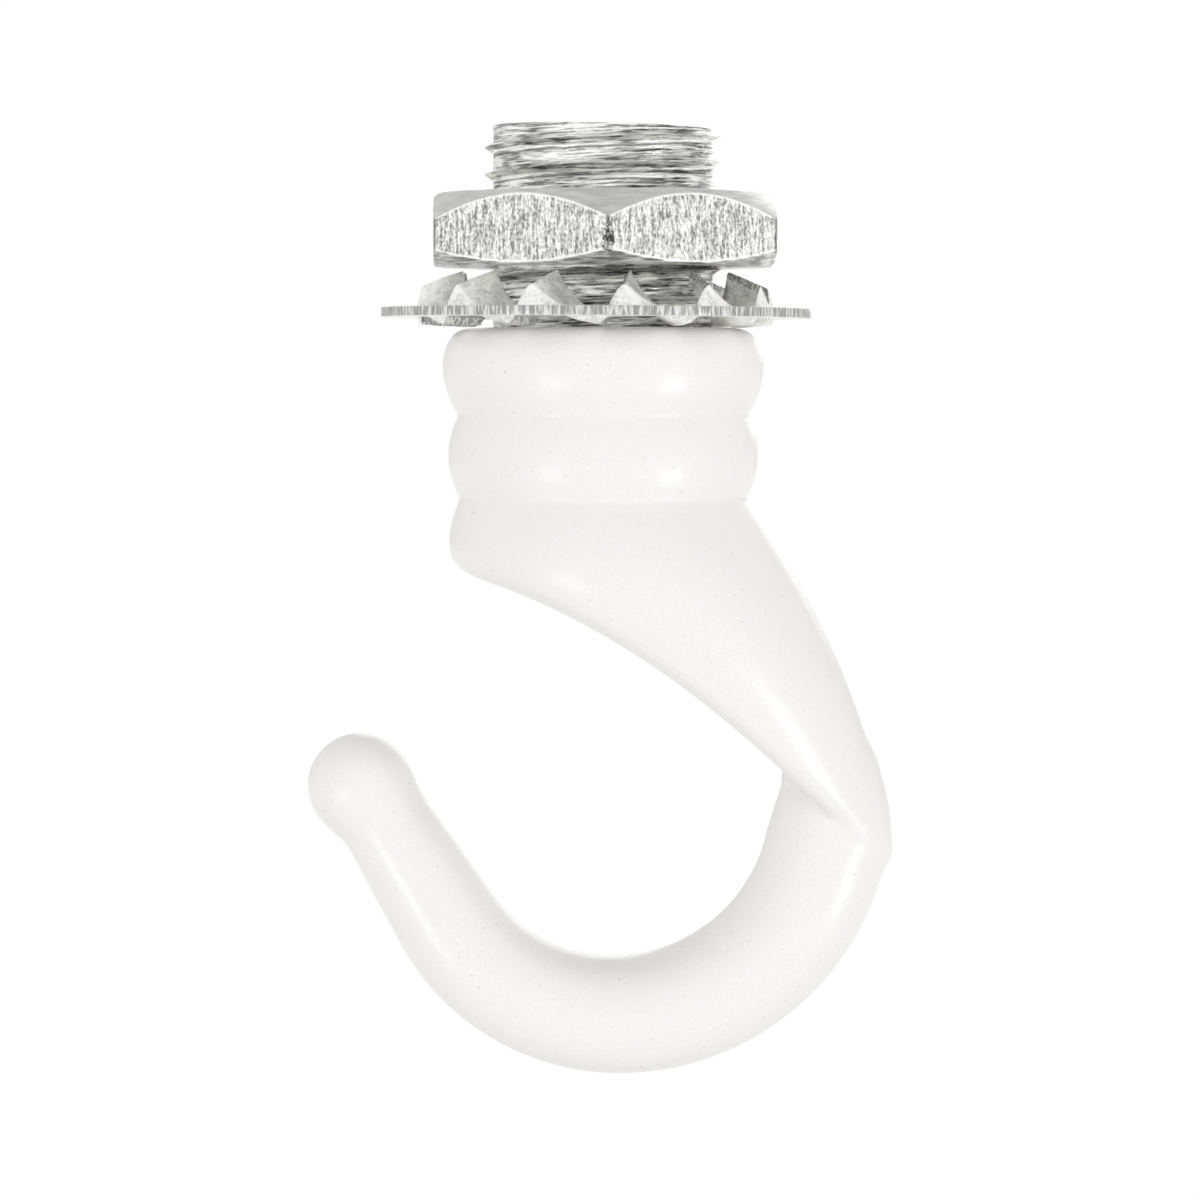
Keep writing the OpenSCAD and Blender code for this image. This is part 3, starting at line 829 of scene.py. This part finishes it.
def net_points(value, low, cell):
    """One point in each cell that the surface passes, and the point's number for each cell."""
    count = np.zeros([n - 1 for n in value.shape])
    total = np.zeros([n - 1 for n in value.shape] + [3])
    for a in CUBE_CORNERS:
        for axis in range(3):
            if a[axis]:
                continue
            b = tuple(v + (n == axis) for n, v in enumerate(a))
            va, vb = at_corner(value, a), at_corner(value, b)
            crossed = (va < 0) != (vb < 0)
            share = np.where(crossed, va / np.where(crossed, va - vb, 1), 0)
            count += crossed
            for n in range(3):
                total[..., n] += crossed * (a[n] + (share if n == axis else 0))
    used = count > 0
    index = np.full(count.shape, -1)
    index[used] = np.arange(used.sum())
    where = np.argwhere(used)
    return np.asarray(low) + (where + total[used] / count[used][:, None]) * cell, index


# %% Quads of the net
def net_quads(inside, index):
    """One quad for each grid edge that the surface crosses, with its face turned outwards."""
    quads = []
    for axis in range(3):
        first, second = (axis + 1) % 3, (axis + 2) % 3
        lower = tuple(slice(0, -1) if n == axis else slice(1, -1) for n in range(3))
        upper = tuple(slice(1, None) if n == axis else slice(1, -1) for n in range(3))
        edges = np.argwhere(inside[lower] != inside[upper])
        edges[:, first] += 1
        edges[:, second] += 1
        starts_inside = inside[tuple(edges.T)]
        ring = []
        for step_first, step_second in ((1, 1), (0, 1), (0, 0), (1, 0)):
            cell_at = edges.copy()
            cell_at[:, first] -= step_first
            cell_at[:, second] -= step_second
            ring.append(index[tuple(cell_at.T)])
        ring = np.stack(ring, axis=1)
        ring[~starts_inside] = ring[~starts_inside][:, ::-1]
        quads.append(ring)
    return np.concatenate(quads)


def surface_net(distance, low, high, cell):
    """Vertices and quads of the surface where distance is zero, inside the box from low to high."""
    axes = [np.arange(low[i], high[i] + cell, cell) for i in range(3)]
    value = distance(np.stack(np.meshgrid(*axes, indexing="ij"), axis=-1))
    vertices, index = net_points(value, low, cell)
    return vertices, net_quads(value < 0, index)


MOST_AT_ONCE = 0.1


def settle(distance, vertices, rounds=4, probe=0.01):
    """Moves the vertices along the slope of the distance until they lie on the surface."""
    for _ in range(rounds):
        value = distance(vertices)
        slope = np.stack([(distance(vertices + probe * e) - distance(vertices - probe * e)) / (2 * probe)
                          for e in np.eye(3)], axis=-1)
        step = value / np.maximum((slope ** 2).sum(-1), 0.25)
        vertices = vertices - np.clip(step, -MOST_AT_ONCE, MOST_AT_ONCE)[:, None] * slope
    return vertices


print("a cell has", len(CUBE_CORNERS), "corners")


# %% Mesh from arrays
def mesh_piece(name, vertices, faces, material):
    """A finished and smoothly shaded piece at the origin, from vertices in millimetres."""
    mesh = bpy.data.meshes.new(name)
    mesh.from_pydata((np.asarray(vertices) * MM).tolist(), [], np.asarray(faces).tolist())
    mesh.polygons.foreach_set("use_smooth", [True] * len(mesh.polygons))
    mesh.materials.append(material)
    mesh.update()
    piece = bpy.data.objects.new(name, mesh)
    scene.collection.objects.link(piece)
    return piece


print("arrays in millimetres become pieces in metres")

# %% [markdown]
# Now the casting is drawn. The grid starts at a fixed place and has cells of a quarter of a millimetre or
# so, which is fine enough for the lip's round and keeps the mesh light. The piece then takes the place of
# the plain solid.

# %% Draw the casting
CELL = 0.225
NET_START = (-17.27, -9.88, -42.64)

net_end = [v / MM + 3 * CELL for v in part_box("hook_body")[1]]
casting_vertices, casting_quads = surface_net(casting_distance, NET_START, net_end, CELL)
casting_vertices = settle(casting_distance, casting_vertices)
casting = mesh_piece("enamelled_hook", casting_vertices, casting_quads, enamel_material)
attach(casting, "root")
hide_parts("hook_body")
print("casting:", len(casting_quads), "quads")

# %% [markdown]
# The bare metal pieces get their detail here: a thread, edges that are broken as a tumbled nut's are, and
# teeth that are bent out of one sheet. Each is a plain mesh in the end, at the origin, so that it can be
# exported as it stands. The helper below runs a Geometry Nodes tree on a base object and keeps only its
# result.

# %% Geometry Nodes helpers
def geometry_tree(name, inputs):
    """A tree whose first input is a mesh. The others are named sizes, of the kind that their values have."""
    group = bpy.data.node_groups.new(name, "GeometryNodeTree")
    group.interface.new_socket("Geometry", in_out="INPUT", socket_type="NodeSocketGeometry")
    group.interface.new_socket("Geometry", in_out="OUTPUT", socket_type="NodeSocketGeometry")
    for label, value in inputs.items():
        kind = "NodeSocketInt" if isinstance(value, int) else "NodeSocketFloat"
        group.interface.new_socket(label, in_out="INPUT", socket_type=kind)
    tree = Tree(group)
    return group, tree, tree.node("NodeGroupInput")


WELD_M = 2e-6
BEVEL_TURN = math.radians(52)


def close_tree(tree, geometry, material):
    """The last nodes of every tree: real faces instead of instances, then the finish."""
    real = tree.node("GeometryNodeRealizeInstances", {}, {"Geometry": geometry})
    closed = tree.node("GeometryNodeMergeByDistance", {}, {"Geometry": real, "Distance": WELD_M})
    dressed = tree.node("GeometryNodeSetMaterial", {}, {"Geometry": closed, "Material": material})
    tree.node("NodeGroupOutput", {}, {"Geometry": dressed})


def grow(name, base, group, inputs, bevel_mm=0):
    """Runs the tree on the base object, keeps the result as a plain mesh and throws the base away."""
    modifier = base.modifiers.new("tree", "NODES")
    modifier.node_group = group
    for item in group.interface.items_tree:
        if item.name in inputs:
            modifier[item.identifier] = inputs[item.name]
    if bevel_mm:
        bevel = base.modifiers.new("broken edges", "BEVEL")
        bevel.width = bevel_mm * MM
        bevel.segments = 2
        bevel.angle_limit = BEVEL_TURN
    made = bpy.data.meshes.new_from_object(base.evaluated_get(bpy.context.evaluated_depsgraph_get()))
    made.name = name
    base.modifiers.clear()
    bpy.data.objects.remove(base)
    piece = bpy.data.objects.new(name, made)
    scene.collection.objects.link(piece)
    return piece


def soften(piece, sharp_above):
    """Smooth shading, apart from edges that turn more than the given angle."""
    mesh = piece.data
    mesh.polygons.foreach_set("use_smooth", [True] * len(mesh.polygons))
    mesh.set_sharp_from_angle(angle=math.radians(sharp_above))
    mesh.update()


def stand_for(piece, node):
    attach(piece, "root")
    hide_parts(node)
    piece.data.calc_loop_triangles()
    print(piece.name, "has", len(piece.data.loop_triangles), "triangles")


print("geometry helpers are ready")


# %% Lathe
def lathe(profile, columns):
    """Rings of a turned surface. The profile goes round the metal anticlockwise, radius to the right."""
    turns = -math.pi + np.arange(columns) * 2 * math.pi / columns
    vertices = [(r * math.cos(a), r * math.sin(a), z) for r, z in profile for a in turns]
    quads = []
    for k in range(len(profile) - 1):
        for i in range(columns):
            after = (i + 1) % columns
            here, above = k * columns, (k + 1) * columns
            quads.append((here + i, here + after, above + after, above + i))
    return vertices, quads


print("the lathe is ready")

# %% [markdown]
# The nipple is a piece of lamp pipe with a rolled thread. A thread is one ridge that climbs a fixed height
# for each turn, so it follows a rule, and a grid of points can be wrapped round the axis so that its rows
# climb with the ridge. Then a row lies exactly on the crest all the way, and the crest stays sharp. The
# rows are held level where the pipe ends, and the ridge is kept inside the bores where the nut and the
# collar hold it. The pipe's plain faces are turned on a lathe first, and the tree welds the thread to them.

# %% Sizes of the nipple
nipple_low, nipple_high = [corner.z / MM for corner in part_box("threaded_nipple")]
COLUMNS = 160
ENGAGED_R = 6.11
END_R = 6.1
BORE_R = 4.75
BREAK = 0.25
THREAD_LOW = -0.6
ROWS_A_TURN = 20
THREAD_TURNS = 10
THREAD_CREST_R, THREAD_ROOT_R = 6.6, 6.12
UPPER_FLANK, LOWER_FLANK = 0.26, 0.3
THREAD_ROOM = 0.12
ASKEW_REACH, ASKEW_DROP, ASKEW_SLOPE = 0.8, 0.15, 0.02

pipe_profile = [
    (END_R, nipple_high), (BORE_R + BREAK, nipple_high), (BORE_R, nipple_high - BREAK),
    (BORE_R, nipple_low + BREAK), (BORE_R + BREAK, nipple_low), (ENGAGED_R - BREAK, nipple_low),
    (ENGAGED_R, nipple_low + BREAK), (ENGAGED_R, THREAD_LOW),
]
print("nipple from", round(nipple_low, 2), "to", round(nipple_high, 2), "mm")


# %% Thread tree
def thread_tree(sizes, material):
    group, tree, entry = geometry_tree("thread", sizes)
    size = {label: entry.out(label) for label in sizes}
    grid = tree.node("GeometryNodeMeshGrid", {}, {
        "Size X": 1.0, "Size Y": 1.0,
        "Vertices X": size["Columns"] + 1,
        "Vertices Y": size["Rows a Turn"] * size["Turns"] + 1,
    })
    flat = tree.node("ShaderNodeSeparateXYZ", {}, {0: tree.node("GeometryNodeInputPosition")})
    around = flat.out("X") + 0.5
    climb = (flat.out("Y") + 0.5) * size["Turns"]
    raw = size["First Crest"] + size["Pitch"] * (around + climb)
    z = tree.node("ShaderNodeClamp", {}, {"Value": raw, "Min": size["Low"], "Max": size["High"]})
    phase = raw.math("FRACT", (z - size["First Crest"]) / size["Pitch"] - around, 0)
    above, below = phase / size["Upper Flank"], (1 - phase) / size["Lower Flank"]
    depth = raw.math("MINIMUM", raw.math("MINIMUM", above, below), 1)
    hollow = raw.math("SINE", depth * (math.pi / 2), 0)
    ridge = size["Crest Radius"] - (size["Crest Radius"] - size["Root Radius"]) * hollow
    at_collar = size["Engaged Radius"] + raw.math("MAXIMUM", z - size["Room"], 0)
    room = size["Room"] * 3
    past_nut = raw.math("MAXIMUM", size["Nut Low"] + room - z, z + room - size["Nut High"])
    at_nut = size["Engaged Radius"] + raw.math("MAXIMUM", past_nut, 0)
    at_end = size["End Radius"] + size["High"] - z
    radius = raw.math("MINIMUM", raw.math("MINIMUM", ridge, at_collar), raw.math("MINIMUM", at_nut, at_end))
    angle = around * (2 * math.pi) - math.pi
    spot = tree.node("ShaderNodeCombineXYZ", {}, {
        "X": radius * raw.math("COSINE", angle, 0),
        "Y": radius * raw.math("SINE", angle, 0),
        "Z": z,
    })
    wrapped = tree.node("GeometryNodeSetPosition", {}, {"Geometry": grid, "Position": spot})
    joined = tree.node("GeometryNodeJoinGeometry", {}, {"Geometry": wrapped})
    tree.node_tree.links.new(entry.out("Geometry").socket, joined.socket.node.inputs["Geometry"])
    ends = tree.node("ShaderNodeSeparateXYZ", {}, {0: tree.node("GeometryNodeInputPosition")})
    past_reach = ends.out("Z") - size["High"] + size["Askew Reach"]
    near_end = raw.math("MAXIMUM", past_reach, 0) / size["Askew Reach"]
    drop = near_end * (size["Askew Drop"] + size["Askew Slope"] * ends.out("X"))
    lowered = tree.node("ShaderNodeCombineXYZ", {}, {"Z": 0 - drop})
    askew = tree.node("GeometryNodeSetPosition", {}, {"Geometry": joined, "Offset": lowered})
    close_tree(tree, askew, material)
    return group


thread_sizes = {
    "Columns": COLUMNS, "Rows a Turn": ROWS_A_TURN, "Turns": THREAD_TURNS,
    "Pitch": PITCH * MM, "First Crest": FIRST_CREST * MM, "Low": THREAD_LOW * MM, "High": nipple_high * MM,
    "Crest Radius": THREAD_CREST_R * MM, "Root Radius": THREAD_ROOT_R * MM,
    "Upper Flank": UPPER_FLANK, "Lower Flank": LOWER_FLANK,
    "Engaged Radius": ENGAGED_R * MM, "End Radius": END_R * MM, "Room": THREAD_ROOM * MM,
    "Nut Low": nut_low * MM, "Nut High": nut_high * MM,
    "Askew Reach": ASKEW_REACH * MM, "Askew Drop": ASKEW_DROP * MM, "Askew Slope": ASKEW_SLOPE,
}
print("thread with", THREAD_TURNS, "turns and a ridge of", round(THREAD_CREST_R - THREAD_ROOT_R, 2), "mm")

# %% Grow the thread
pipe = mesh_piece("pipe", *lathe(pipe_profile, COLUMNS), thread_zinc)
nipple = grow("rolled_thread", pipe, thread_tree(thread_sizes, thread_zinc), thread_sizes)
soften(nipple, sharp_above=50)
stand_for(nipple, "threaded_nipple")

# %% [markdown]
# The nut is a hexagon whose corners are turned off at a slant at both ends, which leaves a curved border on
# every flat. Its section is drawn for each direction round the axis: the flat's distance, rounded over at
# the corner, and the chamfer's cone, whichever lies further in. Every edge of that section is broken by a
# small arc, because real edges are never sharp and their highlights are what the eye reads.

# %% Outline of the nut
SIDE_ROWS = 34


def hexagon_r(turn):
    """Distance of the rounded hexagon's outline from the axis, for a turn from the middle of a flat."""
    turn = abs(turn)
    centre = (NUT_FLAT_R - CORNER_ROUND) / math.cos(SIX_SIDES / 2)
    off = SIX_SIDES / 2 - turn
    if turn <= math.atan2(centre * 0.5, NUT_FLAT_R):
        return NUT_FLAT_R / math.cos(turn)
    return centre * math.cos(off) + math.sqrt(max(CORNER_ROUND ** 2 - (centre * math.sin(off)) ** 2, 0))


def round_off(points, reach, steps=3):
    """A line of points whose inner corners are cut by small arcs."""
    line = [points[0]]
    for before, corner, after in zip(points, points[1:], points[2:]):
        corner = np.asarray(corner, float)
        towards = [np.asarray(p, float) - corner for p in (before, after)]
        pulls = [min(reach, 0.45 * float(np.hypot(*t))) / max(float(np.hypot(*t)), 1e-9) for t in towards]
        start, end = corner + towards[0] * pulls[0], corner + towards[1] * pulls[1]
        for share in np.linspace(0, 1, steps + 1):
            line.append(tuple((1 - share) ** 2 * start + 2 * share * (1 - share) * corner + share ** 2 * end))
    return line + [points[-1]]


def nut_section(turn):
    """Radius and height of the nut's section in one direction, from the bore's middle round the outside."""
    far = hexagon_r(turn)
    lower_drop = (far - LOWER_FACE_R) * LOWER_SLANT
    upper_drop = (far - UPPER_FACE_R) * UPPER_SLANT
    middle = (nut_low + nut_high) / 2
    lower = [(NUT_BORE_R, middle), (NUT_BORE_R, nut_low + NUT_SINK_H), (NUT_SINK_R, nut_low),
             (LOWER_FACE_R, nut_low), (far, nut_low + lower_drop)]
    upper = [(far, nut_high - upper_drop), (UPPER_FACE_R, nut_high), (NUT_SINK_R, nut_high),
             (NUT_BORE_R, nut_high - NUT_SINK_H), (NUT_BORE_R, middle)]
    side = [(far, z) for z in np.linspace(nut_low + lower_drop, nut_high - upper_drop, SIDE_ROWS)[1:-1]]
    low_line = round_off(lower + [side[0]], EDGE_ROUND)
    high_line = round_off([side[-1]] + upper, EDGE_ROUND)
    return low_line[:-1] + side + high_line[1:]


print("across flats", 2 * NUT_FLAT_R, "mm, across corners", round(2 * hexagon_r(SIX_SIDES / 2), 2), "mm")

# %% Dent and directions
NICK_TURN, NICK_WIDTH = math.radians(-89), math.radians(1)
NICK_Z, NICK_H, NICK_DEPTH = 4.7, 0.62, 0.2
CORNER_TURNS = [-30, -29.7, -29.4, -29.1, -28.8, -28.5, -28.2, -27.8, -27, -26]
FLAT_STEP = 2.0


def nut_turns():
    """Directions round the nut, close together where a corner is rounded."""
    sector = CORNER_TURNS + list(np.arange(-24, 25, FLAT_STEP)) + [-c for c in CORNER_TURNS[:0:-1]]
    return [(SIX_SIDES * n, math.radians(turn)) for n in range(6) for turn in sector]


def nick_depth(angle, z):
    """The dent in the front corner: an uneven pit that a blow has left."""
    across = (angle - NICK_TURN + 0.004 * math.sin(9 * z)) / NICK_WIDTH
    along = (z - NICK_Z) / NICK_H
    pit = math.exp(-across ** 2 - abs(along) ** 3)
    return pit * (NICK_DEPTH + 0.05 * math.sin(17 * z) + 0.04 * math.sin(31 * z + 1))


print(len(nut_turns()), "directions round the nut")

# %% Nut
nut_vertices, nut_quads = [], []
sections = [(flat + turn + NUT_TURN, nut_section(turn)) for flat, turn in nut_turns()]
per_section = len(sections[0][1]) - 1
for count, (angle, line) in enumerate(sections):
    for r, z in line[:-1]:
        r -= nick_depth((angle + math.pi) % (2 * math.pi) - math.pi, z) if r > UPPER_FACE_R else 0
        nut_vertices.append((r * math.cos(angle), r * math.sin(angle), z))
    here, after = count * per_section, (count + 1) % len(sections) * per_section
    for k in range(per_section):
        up = (k + 1) % per_section
        nut_quads.append((here + k, after + k, after + up, here + up))
nut = mesh_piece("chamfered_nut", nut_vertices, nut_quads, nut_zinc)
soften(nut, sharp_above=75)
stand_for(nut, "hex_nut")

# %% [markdown]
# The lock washer starts as one flat ring with twelve tongues inside it, and a press twists every tongue so
# that one corner bites the nut and the other the part below. The sheet is continuous, so it is modelled as
# a sheet: a grid of points in its middle, for one tongue and its share of the ring, which is then given its
# thickness. All tongues are alike, so the tree only copies that share round the axis, welds the copies and
# tips the loose washer a little.

# %% Sizes of the washer
TEETH = 12
SHEET = 0.53
TOOTH_EDGE_R, TOOTH_ROOT_R, WASHER_R = 7.6, 9.7, 12.0
BEND_REACH = 0.38
ROOT_FILL, EDGE_FILL = 0.82, 1.0
ROOT_TWIST, EDGE_TWIST = math.radians(24), math.radians(42.5)
ROOT_LIFT, EDGE_LIFT = 0.4, 0.76
TOOTH_LEAN = math.radians(4)
ROOT_CUP, EDGE_CUP = 0.35, 0.45
RING_Z = 0.84
HALF_PITCH = math.pi / TEETH
GAP_CELLS, TOOTH_CELLS = 4, 12
BEND_ROWS, TOOTH_ROWS = 8, 12
FIRST_TOOTH = math.radians(-96)
WASHER_SIDEWAYS = -0.4
WASHER_TIP = math.radians(0.25)
SHEET_EDGE = 0.07

print("washer", 2 * WASHER_R, "mm wide with", TEETH, "teeth")


# %% [markdown]
# A point of the sheet is known by its radius and its column, which counts from the gap on one side of a
# tooth to the gap on the other. In the tooth the sheet is twisted, lifted and slightly cupped, more so
# towards the edge, and on the outer side of the root all that fades out over a short bend. In the gap the
# height eases from one tooth's side to the next one's.

# %% One point of the sheet
def ease(share):
    share = min(max(share, 0), 1)
    return share * share * (3 - 2 * share)


def sheet_point(r, column):
    """Middle of the sheet at a radius and a column: its turn, its height and the lean of its thickness."""
    reach = (TOOTH_ROOT_R - r) / (TOOTH_ROOT_R - TOOTH_EDGE_R)
    share = max(reach, 0)
    bent = ease(1 + (TOOTH_ROOT_R - r) / BEND_REACH) if r > TOOTH_ROOT_R else 1
    fill = ROOT_FILL + (EDGE_FILL - ROOT_FILL) * share
    twist = bent * (ROOT_TWIST + (EDGE_TWIST - ROOT_TWIST) * share)
    lift = bent * (ROOT_LIFT + (EDGE_LIFT - ROOT_LIFT) * share)
    half = r * HALF_PITCH * fill
    middle_turn = -TOOTH_LEAN * (1 - min(share, 1))
    across = (column - GAP_CELLS) / TOOTH_CELLS * 2 - 1
    if -1 - 1e-9 <= across <= 1 + 1e-9:
        cup = bent * (ROOT_CUP + (EDGE_CUP - ROOT_CUP) * share) * (1 - across ** 2)
        y = across * half * math.cos(twist) - cup * math.sin(twist)
        z = lift - across * half * math.sin(twist) - cup * math.cos(twist)
        return middle_turn + y / r, z, twist
    edge_turn = half * math.cos(twist) / r
    gap_share = (abs(column - GAP_CELLS - TOOTH_CELLS / 2) - TOOTH_CELLS / 2) / GAP_CELLS
    side = 1 if across > 0 else -1
    turn = edge_turn + (HALF_PITCH - edge_turn) * gap_share
    rise = half * math.sin(twist) * (1 - 2 * ease(gap_share / 2))
    return middle_turn + side * turn, lift - side * rise, twist * (1 - gap_share)


root_turn, root_height, root_lean = sheet_point(TOOTH_ROOT_R, GAP_CELLS)
print("at a root's corner the sheet stands", round(root_height, 2), "mm up and leans",
      round(math.degrees(root_lean)), "degrees")

# %% Rows and vertices of one tooth
COLUMNS_A_SHARE = 2 * GAP_CELLS + TOOTH_CELLS
RING_ROWS = [WASHER_R, 11.5, 10.9]
RING_ROWS += [TOOTH_ROOT_R + BEND_REACH * (1 - k / BEND_ROWS) for k in range(BEND_ROWS + 1)]
tooth_depth = TOOTH_EDGE_R - TOOTH_ROOT_R
INNER_ROWS = [TOOTH_ROOT_R + tooth_depth * k / TOOTH_ROWS for k in range(1, TOOTH_ROWS + 1)]


def sheet_vertices():
    """Both faces' vertices, their numbers by row and column, and how much highlight is painted at each where
    the sheet is drawn over the bend.
    """
    vertices, index, drawn = [], {}, []
    for row, r in enumerate(RING_ROWS + INNER_ROWS):
        in_ring = row < len(RING_ROWS)
        first, last = (0, COLUMNS_A_SHARE) if in_ring else (GAP_CELLS, GAP_CELLS + TOOTH_CELLS)
        for column in range(first, last + 1):
            turn, z, lean = sheet_point(r, column)
            index[row, column] = len(vertices) // 2
            for side in (1, -1):
                half = side * SHEET / 2
                angle = turn + half * math.sin(lean) / r
                vertices.append((r * math.cos(angle), r * math.sin(angle), z + half * math.cos(lean)))
                bend_share = (TOOTH_ROOT_R + BEND_REACH - r) / BEND_REACH
                # The share of painted highlight, highest on the bend of a tooth.
                drawn.append(ease(bend_share) * ease(1.6 - bend_share) * ease(z))
    return vertices, index, drawn


print(len(RING_ROWS), "rows in the ring and", len(INNER_ROWS), "in a tooth")


# %% Faces of one tooth
def sheet_faces(index):
    """Faces of one tooth and its share of the ring, open where the next joins, and which are cut edges."""
    faces, borders = [], {}
    for row in range(len(RING_ROWS) + len(INNER_ROWS) - 1):
        for column in range(COLUMNS_A_SHARE):
            corners = [(row, column), (row, column + 1), (row + 1, column + 1), (row + 1, column)]
            if all(c in index for c in corners):
                ids = [index[c] for c in corners]
                faces.append([2 * i for i in ids])
                faces.append([2 * i + 1 for i in ids[::-1]])
                for a, b in zip(corners, corners[1:] + corners[:1]):
                    borders[frozenset((a, b))] = None if frozenset((a, b)) in borders else (a, b)
    cut = [0.0] * len(faces)
    for border in borders.values():
        if border and not all(c[1] in (0, COLUMNS_A_SHARE) for c in border):
            a, b = index[border[0]], index[border[1]]
            faces.append([2 * b, 2 * a, 2 * a + 1, 2 * b + 1])
            cut.append(1.0)
    return faces, cut


tooth_vertices, tooth_index, bend_highlight_share = sheet_vertices()
tooth_faces, cut_faces = sheet_faces(tooth_index)
print("one tooth:", len(tooth_vertices), "vertices and", len(tooth_faces), "faces")


# %% Washer tree
def ring_of_teeth(sizes, material):
    group, tree, entry = geometry_tree("ring of teeth", sizes)
    count = entry.out("Teeth")
    points = tree.node("GeometryNodePoints", {}, {"Count": count})
    turn = tree.node("GeometryNodeInputIndex") * (2 * math.pi) / count + entry.out("First Turn")
    about_axis = tree.node("ShaderNodeCombineXYZ", {}, {"Z": turn})
    turned = tree.node("FunctionNodeEulerToRotation", {}, {0: about_axis})
    copies = tree.node("GeometryNodeInstanceOnPoints", {}, {
        "Points": points, "Instance": entry.out("Geometry"), "Rotation": turned,
    })
    shift = tree.node("ShaderNodeCombineXYZ", {}, {"X": entry.out("Sideways"), "Z": entry.out("Height")})
    tip = tree.node("ShaderNodeCombineXYZ", {}, {"Y": entry.out("Tip")})
    placed = tree.node("GeometryNodeTransform", {}, {
        "Geometry": copies, "Translation": shift, "Rotation": tip,
    })
    close_tree(tree, placed, material)
    return group


washer_sizes = {
    "Teeth": TEETH, "First Turn": FIRST_TOOTH, "Sideways": WASHER_SIDEWAYS * MM, "Height": RING_Z * MM,
    "Tip": WASHER_TIP,
}
print("the tree turns one tooth", TEETH, "times by", round(360 / TEETH), "degrees")

# %% Grow the washer
tooth = mesh_piece("tooth", tooth_vertices, tooth_faces, washer_zinc)
tooth.data.attributes.new("cut", "FLOAT", "FACE").data.foreach_set("value", cut_faces)
# The "drawn" attribute says where the highlight is painted on the bend.
tooth.data.attributes.new("drawn", "FLOAT", "POINT").data.foreach_set("value", bend_highlight_share)
teeth_tree = ring_of_teeth(washer_sizes, washer_zinc)
washer = grow("toothed_washer", tooth, teeth_tree, washer_sizes, bevel_mm=SHEET_EDGE)
soften(washer, sharp_above=60)
stand_for(washer, "lock_washer")
